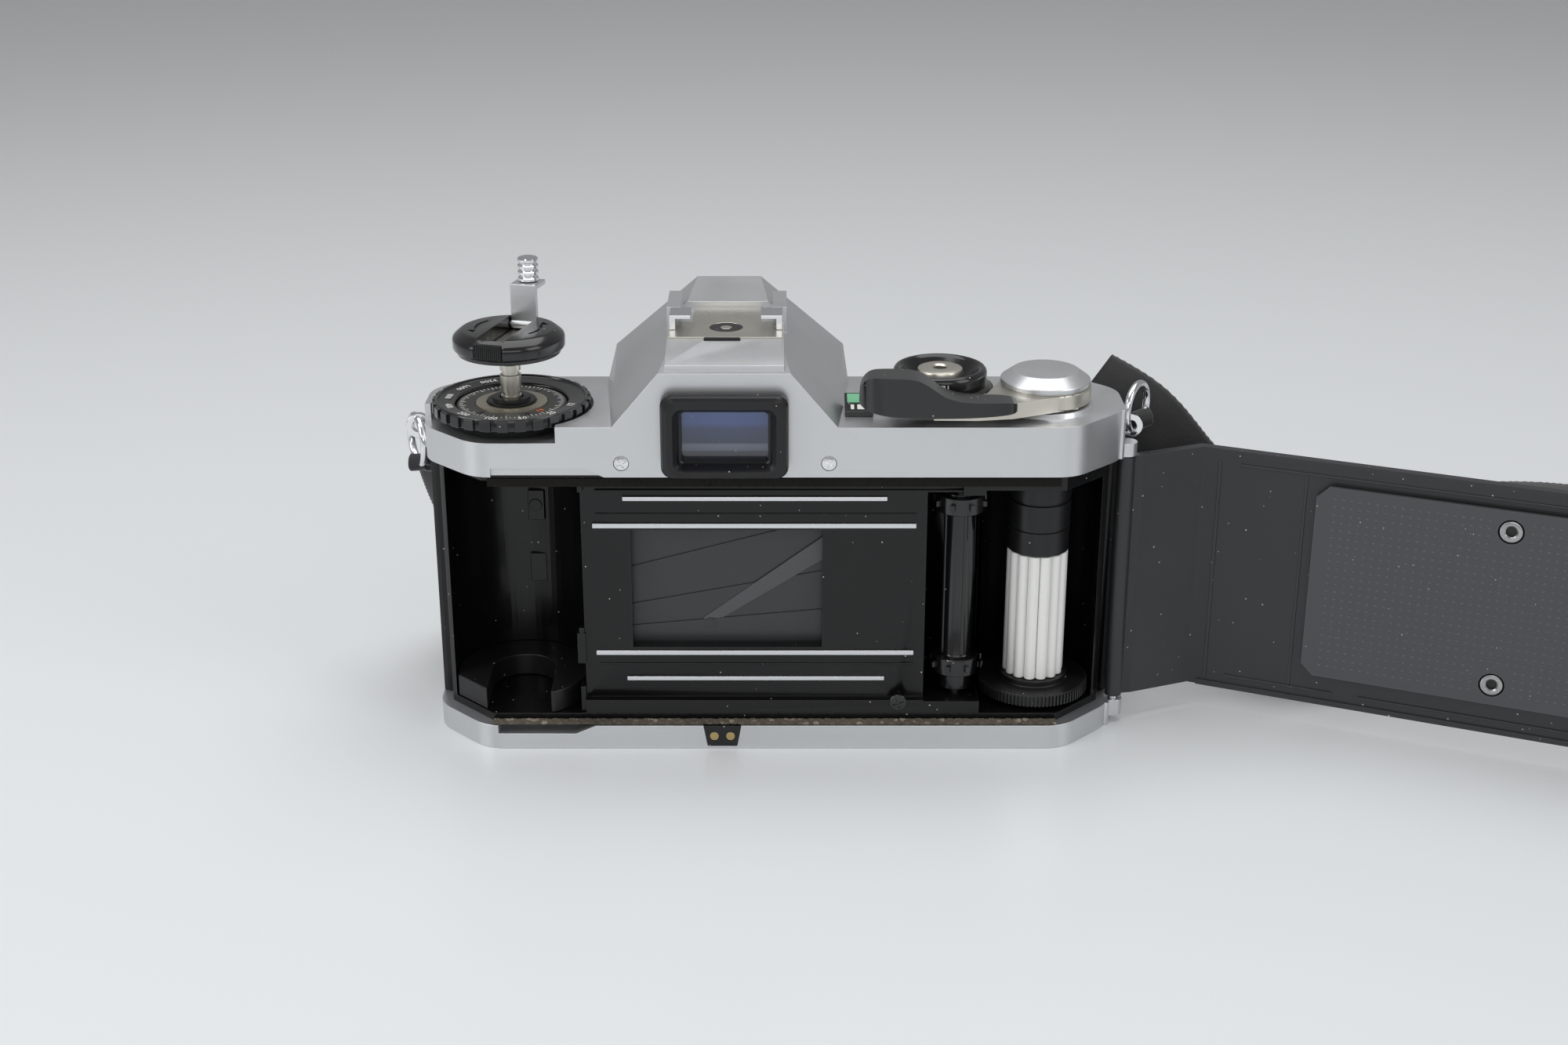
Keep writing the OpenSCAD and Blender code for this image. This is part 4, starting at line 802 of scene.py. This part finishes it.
def makeSpeedRing():
    r = speedRing
    bm = lathe([(r["inner"], r["low"]), (12.3, r["low"]), (12.9, r["low"] + 0.25),
        (14.0, r["rimLow"] - 0.1), (14.25, r["rimLow"]), (14.25, r["rimTop"] - 0.35), (14.05, r["rimTop"]),
        (13.75, r["rimTop"]), (13.5, r["rimTop"] - 0.45), (r["inner"] + 0.25, r["seatTop"] - 0.1),
        (r["inner"], r["seatTop"] - 0.35), (r["inner"], r["low"])], rewindAxis, 112)
    toothRing(bm, r["teeth"], rewindAxis, 13.9, r["radius"], r["rimLow"], r["rimTop"] - 0.25, 2.05)
    addPiece(bm, "speedRingPiece", "film_speed_dial", "gloss_black", ["film_dial"], bevel=0.16, segments=2,
        angle=40, flip=False)
    words = ["12", "25", "50", "100", "200", "400", "800", "1600", "3200"]
    for k, word in enumerate(words):
        a = math.radians(-12 - 28 * (k - 3) - 90)
        turn = Matrix.Rotation(a + math.pi / 2, 3, "Z")
        place = rewindAxis + Vector((math.cos(a), math.sin(a), 0)) * 12.0 + Vector((0, 0, 66.28))
        writeMark("speedMark" + word, word, r["numberSize"], place, turn, paintWhite, "film_speed_dial")


makeSpeedRing()


def makeInnerDisc():
    bm = lathe([(3.4, 62.9), (10.35, 62.9), (10.35, 65.35), (10.1, 65.6), (6.85, 65.6), (6.75, 65.5),
        (3.4, 65.5), (3.4, 62.9)], rewindAxis, 96)
    addPiece(bm, "innerDiscPiece", "camera", "dial_grey", ["dial_disc"], smooth=30)
    bm = lathe([(4.7, 65.5), (6.65, 65.5), (6.65, 65.8), (6.45, 65.88), (4.7, 65.88), (4.7, 65.5)],
        rewindAxis, 96)
    addPiece(bm, "creamRingPiece", "camera", "nickel", smooth=30, finish=creamRing)
    bm = bmesh.new()
    for k in range(72):
        made = boxIn(bm, 9.1 if k % 3 else 8.6, 9.75, -0.06, 0.06, 65.58, 65.64)
        turnZ(bm, math.tau * k / 72, made)
    shift(bm, rewindAxis, bm.verts)
    addPiece(bm, "innerDiscTicks", "camera", "white_plastic", flip=False, finish=paintWhite)
    # painted shade: black patches stand for the shadow inside the four slots of the inner disc
    bm = bmesh.new()
    for a in (-62, -128, 58, 118):
        made = boxIn(bm, 7.35, 8.75, -0.42, 0.42, 65.57, 65.63)
        turnZ(bm, math.radians(a), made)
    shift(bm, rewindAxis, bm.verts)
    addPiece(bm, "innerDiscSlotShade", "camera", "black_plastic", flip=False, finish=shadeBlack)
    bm = bmesh.new()
    for a, r0, r1 in ((-38, 7.2, 8.3), (-44, 7.2, 8.0)):
        made = boxIn(bm, r0, r1, -0.22, 0.22, 65.58, 65.65)
        turnZ(bm, math.radians(a), made)
    shift(bm, rewindAxis, bm.verts)
    addPiece(bm, "innerDiscMarks", "camera", "gloss_black", flip=False, finish=paintOrange)


makeInnerDisc()


# rewind knob
knob = dict(radius=10.4, low=75.4, top=80.1, channelHalf=2.8, channelFloor=77.2)


def makeKnob():
    r, low, top, half = knob["radius"], knob["low"], knob["top"], knob["channelHalf"]
    bm = lathe([(2.0, low + 0.5), (5.0, low + 0.5), (5.0, low + 0.1), (5.3, low), (r - 1.3, low),
        (r - 0.8, low + 0.15), (r - 0.65, low + 0.8), (r - 0.15, low + 1.1), (r, low + 1.4), (r, top - 1.8),
        (r - 0.15, top - 1.35), (r - 0.6, top - 0.9), (r - 1.5, top - 0.2), (r - 1.9, top - 0.05),
        (r - 2.2, top), (0, top), (0, low + 0.7), (2.0, low + 0.7), (2.0, low + 0.5)], (0, 0), 112)
    for space in ((-half, half, -8.7, 9.4, knob["channelFloor"], 90), (-2.9, 2.9, -12, -9.7, 76.6, 79.6)):
        tool = bmesh.new()
        boxIn(tool, *space)
        bm = joinBodies(bm, tool)
    for side in (0, math.pi):
        tool = lathe([(5.75, 79.8), (6.35, 79.8), (6.35, 81), (5.75, 81), (5.75, 79.8)], (0, 0), 96)
        wedge = extrudeOutline([(0, 0), (9, -5.2), (12, 0), (9, 5.2)], 79, 82)
        tool = joinBodies(tool, wedge, "INTERSECT")
        tip = extrudeOutline([(5.0, 3.2), (6.7, 3.6), (4.9, 5.0)], 79.8, 81)
        for part in (tool, tip):
            turnZ(part, side, part.verts)
            bm = joinBodies(bm, part)
    turnZ(bm, -crankTurn, bm.verts)
    shift(bm, rewindAxis, bm.verts)
    addPiece(bm, "rewindKnobPiece", "rewind_spindle", "gloss_black", ["rewind_knob"], bevel=0.16,
        segments=3, angle=38, flip=False)
    back = Matrix.Rotation(-crankTurn, 3, "Z")
    floor = bmesh.new()
    boxIn(floor, -2.55, 2.55, -8.3, 8.2, 77.15, 77.32)
    bmesh.ops.rotate(floor, matrix=back, verts=floor.verts)
    shift(floor, rewindAxis, floor.verts)
    addPiece(floor, "knobChannelFloor", "rewind_spindle", "nickel", bevel=0.05, flip=False)
    grip = bmesh.new()
    boxIn(grip, -2.7, 2.7, -10.15, -9.6, 76.7, 79.5)
    for k in range(14):
        boxIn(grip, -2.6 + k * 0.385, -2.42 + k * 0.385, -10.3, -10.1, 76.8, 79.4)
    bmesh.ops.rotate(grip, matrix=back, verts=grip.verts)
    shift(grip, rewindAxis, grip.verts)
    addPiece(grip, "knobGripPanel", "rewind_spindle", "black_plastic", flip=False)


makeKnob()


# mode dial and shutter button
modeDial = dict(radius=10.0, knurls=64, low=65.5, knurlTop=68.5, cupRadius=8.8, top=71.95, cupFloor=68.9)


def makeModeDial():
    m = modeDial
    bm = lathe([(2.7, 65.45), (m["radius"] - 0.45, 65.45), (m["radius"] - 0.3, 65.7),
        (m["radius"] - 0.3, 68.2), (m["radius"] - 0.6, m["knurlTop"]), (m["cupRadius"] + 0.1, 68.7),
        (m["cupRadius"], 69.0), (m["cupRadius"], 70.9), (m["cupRadius"] - 0.12, 71.4),
        (m["cupRadius"] - 0.45, 71.8), (m["cupRadius"] - 0.85, m["top"]), (m["cupRadius"] - 1.25, 71.85),
        (m["cupRadius"] - 1.7, 71.4), (m["cupRadius"] - 2.4, 70.4), (m["cupRadius"] - 3.3, 69.5),
        (4.9, m["cupFloor"]), (4.6, 68.6), (4.6, 67.6), (2.7, 67.6), (2.7, 65.45)], modeAxis, 96)
    toothRing(bm, m["knurls"], modeAxis, m["radius"] - 0.6, m["radius"], 65.75, 68.15, 0.55)
    addPiece(bm, "modeDialPiece", "mode_dial", "gloss_black", ["mode_dial"], flip=False)
    bm = bmesh.new()
    for a in (-96, -84):
        made = boxIn(bm, 8.72, 8.86, -0.09, 0.09, 69.3, 70.8)
        turnZ(bm, math.radians(a), made)
    made = boxIn(bm, 8.72, 8.84, -0.42, 0.42, 69.3, 70.8)
    turnZ(bm, math.radians(-90), made)
    shift(bm, modeAxis, bm.verts)
    addPiece(bm, "modeIndexMark", "mode_dial", "white_plastic", flip=False, finish=paintWhite)


makeModeDial()


def makeButton():
    button = lathe([(0, 58.6), (2.15, 58.6), (2.15, 69.5), (4.1, 69.5), (4.3, 69.7), (4.3, 71.2),
        (4.15, 71.55), (3.6, 71.78), (1.9, 71.9), (1.55, 71.8), (1.3, 71.5), (1.3, 67.9), (0, 67.9)],
        modeAxis, 64)
    addPiece(button, "shutterButtonPiece", "shutter_button", "nickel", ["shutter_button"])


makeButton()


# advance lever
def cutCorners(points, rounds=3):
    for _ in range(rounds):
        points = [tuple(p[i] + (q[i] - p[i]) * t for i in (0, 1)) for p, q in zip(points,
            points[1:] + points[:1]) for t in (0.22, 0.78)]
    return points


def makeLever():
    bm = lathe([(0, 58.5), (3.2, 58.5), (3.2, 66.4), (8.3, 66.4), (8.6, 66.7), (8.6, 69.1), (8.3, 69.35),
        (0, 69.35)], spoolAxis, 96)
    arm = extrudeOutline([(65, -9.6), (59, -12.4), (52.4, -15.4), (46, -16.4), (38, -16.2), (36.5, -12.6),
        (44, -11.9), (48.2, -9), (51.1, -1.5)], 66.4, 69.3)
    addPiece(joinBodies(bm, arm, "UNION"), "leverArmPiece", "advance_lever", "nickel", ["lever_arm"],
        bevel=0.25, segments=3, angle=35, flip=False)
    side = extrudeOutline(cutCorners([(24.4, 67.2), (24.5, 72.6), (26.2, 74.6), (30, 74.7), (34.5, 74.6),
        (37, 73.3), (39.9, 71.1), (43.6, 70.1), (52.2, 69.8), (53.5, 69.0), (53.2, 67.2)]), 0, 40)
    bmesh.ops.rotate(side, matrix=Matrix.Rotation(math.pi / 2, 3, "X"), verts=side.verts)
    top = extrudeOutline(cutCorners([(24.4, -14.9), (27.8, -17.3), (36.3, -17.8), (43.4, -17.6),
        (49.3, -16.9), (53.3, -16.0), (53.3, -11.4), (45, -11.9), (36, -11.4), (27.5, -11.0),
        (24.5, -12.2)], 2), 60, 80)
    addPiece(joinBodies(side, top, "INTERSECT"), "leverTipPiece", "advance_lever", "gloss_black",
        ["lever_tip"], bevel=0.55, segments=4, angle=40, smooth=40)
    cap = lathe([(0, 69.36), (8.1, 69.36), (8.2, 69.5), (8.2, 69.62), (8.4, 69.75), (8.4, 70.3),
        (8.3, 70.5), (6.25, 71.98), (6.05, 72.08), (5.9, 72.1), (0, 72.1)], spoolAxis, 96)
    addPiece(cap, "leverCapPiece", "advance_lever", "satin_alloy", ["lever_cap"], smooth=25)


makeLever()


# index window beside the mode dial
window = dict(rear=-10.3, deep=6.8, low=66.15, rise=1.5)      # the sloping face that carries the marks
windowMarks = dict(
    indexGreen=(paintGreen, "gloss_black", 22.5, 26.7, 0.47, 0.93),
    indexWhite=(paintWhite, "white_plastic", 23.1, 23.7, 0.12, 0.36),
    indexWhite2=(paintWhite, "white_plastic", 24.3, 25.7, 0.12, 0.36))


def makeIndex():
    w = window
    refine("index_block", "camera", "gloss_black", bevel=0.15)
    for name, (finish, slotName, x0, x1, low, high) in windowMarks.items():
        bm = bmesh.new()
        boxIn(bm, x0, x1, w["rear"] + w["deep"] * low, w["rear"] + w["deep"] * high, 0, 0.05)
        for v in bm.verts:
            v.co.z += w["low"] + (v.co.y - w["rear"]) / w["deep"] * w["rise"]
        addPiece(bm, name, "camera", slotName, flip=False, finish=finish)


makeIndex()
print("top controls made")


# film path
def makeBlades():
    bm = bmesh.new()
    rows = [((-19.5, 18.2), (19.5, 18.2), (19.5, 26.2), (-19.5, 22.6)),
        ((-19.5, 21.8), (19.5, 25.4), (19.5, 34.2), (-19.5, 26.9)),
        ((-19.5, 26.1), (19.5, 33.4), (19.5, 44.8), (-19.5, 34.4)),
        ((-19.5, 33.6), (19.5, 44.0), (19.5, 44.8), (-19.5, 44.8))]
    for k, row in enumerate(rows):
        y = -9.22 + k * 0.22
        if k == 1:
            light = bmesh.new()
            face = light.faces.new([light.verts.new((x, y, z)) for x, z in ((-3.6, 22.6), (19.5, 37.2),
                (19.5, 42.0), (-4.6, 24.3))])
            pullFace(light, face, (0, 0.1, 0))
            shift(light, (0, -0.16, 0), light.verts)
            addPiece(light, "shutterArmPiece", "camera", "blade_grey", bevel=0.03, finish=bladeLight)
        face = bm.faces.new([bm.verts.new((x, y, z)) for x, z in row])
        pullFace(bm, face, (0, 0.14, 0))
    rodIn(bm, 0.95, (-3.2, -9.42, 23.3), (-3.2, -8.6, 23.3), 24)
    rodIn(bm, 0.5, (-3.2, -9.5, 23.3), (-3.2, -8.6, 23.3), 16)
    addPiece(bm, "shutterBladesPiece", "camera", "blade_grey", ["shutter_blades"], bevel=0.03)


makeBlades()


def makeSprocket():
    bm = lathe([(1.2, 9.9), (3.2, 9.9), (3.2, 13.2), (4.4, 13.2), (4.6, 13.4), (4.6, 16.5), (4.4, 16.7),
        (3.1, 16.7), (2.9, 17.0), (2.9, 45.9), (3.1, 46.2), (4.4, 46.2), (4.6, 46.4), (4.6, 49.5),
        (4.4, 49.7), (3.2, 49.7), (3.2, 50.0), (1.2, 50.0), (1.2, 9.9)], sprocketAxis, 56)
    toothRing(bm, 8, sprocketAxis, 4.2, 5.3, 14.3, 15.5, 1.05, 0.5)
    toothRing(bm, 8, sprocketAxis, 4.2, 5.3, 47.4, 48.6, 1.05, 0.5)
    for k in range(4):
        made = rodIn(bm, 0.45, (2.8, 0, 17.0), (2.8, 0, 45.9), 10)
        turnZ(bm, math.tau * (k + 0.2) / 4, made)
        shift(bm, sprocketAxis, made)
    addPiece(bm, "sprocketPiece", "sprocket", "gloss_black", ["sprocket"], bevel=0.12, angle=45, flip=False)


makeSprocket()


def makeSpool():
    bm = lathe([(1.5, 36.5), (5.7, 36.5), (5.9, 36.7), (5.9, 41.2), (5.6, 41.3), (5.6, 41.7), (5.95, 41.8),
        (5.95, 46.6), (5.5, 46.7), (5.5, 47.3), (5.95, 47.4), (5.95, 51.2), (5.7, 51.35), (1.5, 51.35),
        (1.5, 36.5)], spoolAxis, 64)
    addPiece(bm, "spoolTopPiece", "take_up", "black_plastic", ["take_up_spool"])
    bm = bmesh.new()
    rodIn(bm, 4.55, (spoolAxis.x, spoolAxis.y, 10.8), (spoolAxis.x, spoolAxis.y, 36.4), 48)
    for k in range(14):
        a = math.tau * k / 14
        at = spoolAxis + Vector((math.cos(a), math.sin(a), 0)) * 4.78
        rodIn(bm, 1.08, (at.x, at.y, 10.8), (at.x, at.y, 36.4), 18)
    addPiece(bm, "spoolNeedlesPiece", "take_up", "white_plastic", ["spool_needles"], bevel=0.25, segments=2,
        angle=50, smooth=50, flip=False)
    bm = lathe([(1.5, 7.3), (10.2, 7.3), (10.35, 7.45), (10.35, 9.45), (10.2, 9.6), (6.8, 9.6), (6.6, 9.8),
        (6.6, 10.75), (1.5, 10.75), (1.5, 7.3)], spoolAxis, 96)
    toothRing(bm, 90, spoolAxis, 10.1, 10.7, 7.45, 9.45, 0.36)
    addPiece(bm, "spoolFlangePiece", "take_up", "black_plastic", ["spool_flange"], flip=False)


makeSpool()


# perished foam along the seams
def makeSeals():
    for name, finish, x0, x1, y0, y1, z0, z1, rows in (
            ("foamBasePiece", finishes["foam"], -45, 63, -16.1, -14.05, 4.86, 5.34, 6),
            ("foamTopPiece", darkFoam, -44, 62, -14.35, -14.02, 53.1, 54.5, 2)):
        bm = bmesh.new()
        made = bmesh.ops.create_grid(bm, x_segments=420, y_segments=rows, size=0.5)["verts"]
        flat = z1 - z0 < 0.6
        for v in made:
            u, w = v.co.x + 0.5, v.co.y + 0.5
            rough = 0.16 * math.sin(u * 331) * math.sin(u * 97 + w * 7) + 0.14 * math.sin(u * 1033 + w * 13)
            if flat:
                v.co = (x0 + (x1 - x0) * u, y0 + 0.4 * abs(rough) + (y1 - y0) * w,
                    z1 - 0.14 + rough * (0.5 + w * (1 - w) * 2.4))
            else:
                v.co = (x0 + (x1 - x0) * u, y0 + 0.08 + rough * 0.5, z0 + (z1 - z0) * w)
        bmesh.ops.solidify(bm, geom=bm.faces[:], thickness=0.2)
        addPiece(bm, name, "camera", "foam", ["light_seals"] if flat else [], smooth=80, finish=finish)


makeSeals()


# extra workings in the two chambers
def addCastingDetail():
    bm = bmesh.new()
    boxIn(bm, -39.6, -36.4, 9.2, 10.15, 37.2, 43.4)
    rodIn(bm, 1.25, (-38.1, 8.9, 40.4), (-38.1, 9.6, 40.4), 24)
    boxIn(bm, -39.6, -36.4, 9.5, 10.25, 24, 30)
    boxIn(bm, -28.6, -27.0, -12.7, -9.5, 16.2, 22.5)
    boxIn(bm, -28.2, -27.2, -13.2, -9.5, 6.4, 11.6)
    rodIn(bm, 0.6, (-27.7, -12.0, 21.6), (-27.7, -12.0, 23.6), 16)
    boxIn(bm, -27.6, -26.6, -13.2, -12.3, 51.3, 53.6)
    boxIn(bm, -24.5, 46.5, -12.62, -12.1, 51.2, 51.6)
    boxIn(bm, -24.5, 35.5, -12.45, -12.1, 46.6, 46.9)
    boxIn(bm, -24.5, 35.5, -12.45, -12.1, 15.9, 16.2)
    addPiece(bm, "castingDetailPiece", "camera", "black_paint", bevel=0.14)


addCastingDetail()
print("film path made")


# back door
doorFacts = dict(inner=-14.5, plateX=5.95, rivetRise=15.4, plateWidth=70.5, plateHeight=38.8, dimple=0.3,
    dimpleStep=1.55)


def makeDoor():
    refine("door_shell", "back_door", "door_paint", bevel=0.22, segments=2, rounding=(isUpright, 0.9, 4))
    bm = bmesh.new()
    boxIn(bm, -38, 56, -14.62, -14.22, 52.2, 52.65)      # raised light trap ribs along both edges
    boxIn(bm, -38, 30.2, -14.62, -14.22, 8.1, 8.55)      # the lower rib stops for the casting screw
    boxIn(bm, 35.1, 56, -14.62, -14.22, 8.1, 8.55)
    boxIn(bm, 43.2, 43.7, -14.6, -14.32, 8.6, 52.2)      # pressed steps near the hinge
    boxIn(bm, 59.6, 60.2, -14.6, -14.25, 7.3, 52.6)
    boxIn(bm, -30, -29.5, -14.6, -14.32, 8.6, 52.2)
    addPiece(openDoor(bm), "doorRibsPiece", "back_door", "door_paint", bevel=0.12)
    bm = bmesh.new()
    boxIn(bm, -26, 38, -14.56, -14.44, 50.75, 51.35)     # painted shade: a black strip stands for the shadow in the slot over the pressure plate
    addPiece(openDoor(bm), "doorSlotShadePiece", "back_door", "black_plastic", finish=shadeBlack)
    bm = bmesh.new()
    for z0, z1, phase in ((54.1, 55.15, 0.3), (6.05, 7.0, 1.7)):
        made = bmesh.ops.create_grid(bm, x_segments=260, y_segments=2, size=0.5)["verts"]
        for v in made:
            u, w = v.co.x + 0.5, v.co.y + 0.5
            rough = 0.5 * math.sin(u * 211 + phase) * math.sin(u * 67 + w * 5)
            rough += 0.35 * math.sin(u * 517 + w * 3)
            v.co = (-44 + 104 * u, -14.68 - 0.09 * rough, z0 + (z1 - z0) * w + 0.12 * rough * (w - 0.5))
    bmesh.ops.solidify(bm, geom=bm.faces[:], thickness=0.2)
    addPiece(openDoor(bm), "doorFoamRemainsPiece", "back_door", "foam", smooth=80)


makeDoor()


def makeRivets():
    d = doorFacts
    for side in (-1, 1):
        z = filmZ + side * d["rivetRise"]
        bm = lathe([(0, 0), (2.1, 0), (2.15, 0.1), (2.15, 1.1), (2.0, 1.35), (1.75, 1.45), (1.25, 1.45),
            (1.0, 1.25), (1.0, 0.5), (0, 0.5)], (0, 0), 56)
        turnTo(bm, (d["plateX"], d["inner"], z), ahead)
        # painted shade: a black disc stands for the shadow in each rivet's hollow
        rivetHoleShade = bmesh.new()
        rodIn(rivetHoleShade, 0.98, (d["plateX"], d["inner"] + 0.4, z), (d["plateX"], d["inner"] + 0.65, z), 28)
        addPiece(openDoor(rivetHoleShade), "plateRivetHole%d" % (side + 1), "back_door", "black_plastic",
            finish=shadeBlack)
        addPiece(openDoor(bm), "plateRivet%d" % (side + 1), "back_door", "steel",
            ["plate_rivets"] if side > 0 else [])


makeRivets()


def makePressurePlate():
    d = doorFacts
    bm = copyNode("pressure_plate")
    addPiece(bm, "pressurePlatePiece", "pressure_plate", "plate_black", ["pressure_plate"], bevel=0.16,
        flip=False)
    bm = bmesh.new()
    across = int((d["plateWidth"] - 4) / d["dimpleStep"])
    up = int((d["plateHeight"] - 3) / d["dimpleStep"])
    for i in range(across):
        for j in range(up):
            x = d["plateX"] + (i - (across - 1) / 2) * d["dimpleStep"]
            z = filmZ + (j - (up - 1) / 2) * d["dimpleStep"]
            if abs(x - d["plateX"]) < 3.2 and abs(abs(z - filmZ) - d["rivetRise"]) < 3.2:
                continue
            made = bmesh.ops.create_cone(bm, cap_ends=True, segments=6, radius1=d["dimple"],
                radius2=d["dimple"] * 0.4, depth=0.12)["verts"]
            bmesh.ops.rotate(bm, matrix=Matrix.Rotation(math.radians(-90), 3, "X"), verts=made)
            shift(bm, (x, -13.0, z), made)
    addPiece(openDoor(bm), "plateDimples", "pressure_plate", "plate_black", smooth=60, flip=False)


makePressurePlate()
print("door made")


# strap
strapFacts = dict(width=20.0, thick=1.6, ribPitch=1.45, ribDepth=0.13)
strapRoute = [
    ((70, 18.2, 61), (0.6, 0.1, 0.8), 0.9), ((79, 14, 55), (0.6, 0.1, 0.8), 1),
    ((88, 12.5, 45), (0.55, 0.15, 0.8), 1),
    ((99, 12, 33), (0.45, 0.4, 0.75), 1), ((112, 13, 20), (0.25, 0.75, 0.5), 1),
    ((127, 16, 8), (0, 0.95, 0.2), 1),
    ((144, 20, 2), (-0.2, 0.97, 0), 1), ((164, 26, 1), (-0.35, 0.93, 0), 1),
    ((190, 34, 1), (-0.35, 0.93, 0), 1),
    ((216, 46, 1), (-0.6, 0.8, 0), 1), ((234, 70, 1), (-0.97, 0.2, 0), 1),
    ((230, 98, 1), (-0.85, -0.5, 0), 1),
    ((208, 116, 1), (-0.3, -0.95, 0), 1), ((184, 117, 1), (0.15, -0.98, 0), 1),
    ((158, 106, 1), (0.5, -0.85, 0), 1),
    ((130, 84, 1), (0.5, -0.85, 0), 1), ((98, 68, 1), (0.3, -0.95, 0), 1), ((62, 62, 1), (0.05, -1, 0), 1),
    ((24, 63, 1), (-0.05, -1, 0), 1), ((-8, 60, 1), (0.1, -1, 0), 1), ((-31, 50, 2.5), (0.5, -0.85, 0), 1),
    ((-45, 36, 12), (0.8, -0.6, 0), 1), ((-52, 25, 28), (0.85, -0.5, 0), 0.85),
    ((-57.8, 13.5, 47.5), (0.8, -0.2, 0.1), 0.42)]


def routeAt(which, s):
    last = len(strapRoute) - 1
    k = min(int(s), last - 1)
    t = s - k
    a, b, c, d = (strapRoute[min(max(k + j, 0), last)][which] for j in (-1, 0, 1, 2))
    if which < 2:
        a, b, c, d = Vector(a), Vector(b), Vector(c), Vector(d)
    return smoothBetween(a, b, c, d, t)


def evenRoute(step):
    last = len(strapRoute) - 1
    marks = [(k / 40, routeAt(0, k / 40)) for k in range(last * 40 + 1)]
    out, gone = [0.0], 0.0
    for (_, pa), (sb, pb) in zip(marks, marks[1:]):
        gone += (pb - pa).length
        if gone >= step:
            out.append(sb)
            gone -= step
    return out


def makeStrap():
    f = strapFacts
    places = evenRoute(f["ribPitch"] / 2)
    bm = bmesh.new()
    rings, path = [], []
    for k, s in enumerate(places):
        p, q = routeAt(0, s), routeAt(0, min(s + 0.02, len(strapRoute) - 1.0001))
        way = (q - p).normalized() if (q - p).length > 1e-6 else way
        across = routeAt(1, s)
        across = (across - way * across.dot(way)).normalized()
        up = way.cross(across)
        half = f["thick"] / 2 - (f["ribDepth"] if k % 2 else 0)
        edge = f["width"] / 2 * routeAt(2, s) - (0.12 if k % 2 else 0)
        shape = [(-edge, 0), (-edge + 0.35, -half * 0.8)]
        shape += [(-edge + 0.9 + (2 * edge - 1.8) * j / 6, -half) for j in range(7)]
        shape += [(edge - 0.35, -half * 0.8), (edge, 0), (edge - 0.35, half * 0.8)]
        shape += [(edge - 0.9 - (2 * edge - 1.8) * j / 6, half) for j in range(7)] + [(-edge + 0.35,
            half * 0.8)]
        ring = [bm.verts.new(p + across * u + up * w) for u, w in shape]
        rings.append(ring)
        path.append(p)
    bm.faces.new(rings[0])
    bm.faces.new(list(reversed(rings[-1])))
    skinRings(bm, rings)
    strap = addPiece(bm, "strapPiece", "camera", "webbing", ["strap"], smooth=75)


makeStrap()


# narrow loops that tie the webbing to the rings
def makeTab(name, points, across, width, thick):
    bm = bmesh.new()
    across = Vector(across).normalized()
    points = [Vector(p) for p in points]
    smoothed = []
    for k in range(len(points) - 1):
        a, b, c, d = (points[min(max(k + j, 0), len(points) - 1)] for j in (-1, 0, 1, 2))
        smoothed += [smoothBetween(a, b, c, d, j / 6) for j in range(6)]
    rings = []
    for k, p in enumerate(smoothed):
        way = (smoothed[min(k + 1, len(smoothed) - 1)] - smoothed[max(k - 1, 0)]).normalized()
        side = (across - way * across.dot(way)).normalized()
        out = way.cross(side)
        ring = [bm.verts.new(p + side * u * width / 2 + out * w * thick / 2)
            for u, w in ((-1, -0.6), (-0.93, -1), (0.93, -1), (1, -0.6), (1, 0.6), (0.93, 1), (-0.93, 1),
            (-1, 0.6))]
        rings.append(ring)
    skinRings(bm, rings)
    bm.faces.new(rings[0])
    bm.faces.new(list(reversed(rings[-1])))
    addPiece(bm, name, "camera", "webbing", smooth=50)


makeTab("leftTab", [(-57.7, 13.6, 47.6), (-58.9, 8.2, 50.0), (-59.3, 5.6, 51.8), (-59.6, 4.3, 52.3),
    (-59.8, 3.2, 51.8), (-59.8, 3.1, 50.6), (-59.4, 4.4, 49.7), (-58.7, 8.2, 48.6), (-57.6, 13.4, 46.2)],
    (1, 0.1, 0), 3.2, 0.8)
makeTab("rightTab", [(78.2, 14.6, 57.0), (79.0, 9.6, 59.4), (79.4, 7.6, 60.2), (79.8, 6.3, 59.9),
    (80.0, 5.9, 58.8), (80.1, 6.6, 57.7), (80.0, 8.6, 57.0), (79.4, 13.8, 54.2)], (0.85, 0.1, 0.3), 3.4,
    0.8)
setCamera()
setStudio()
print("scene made")
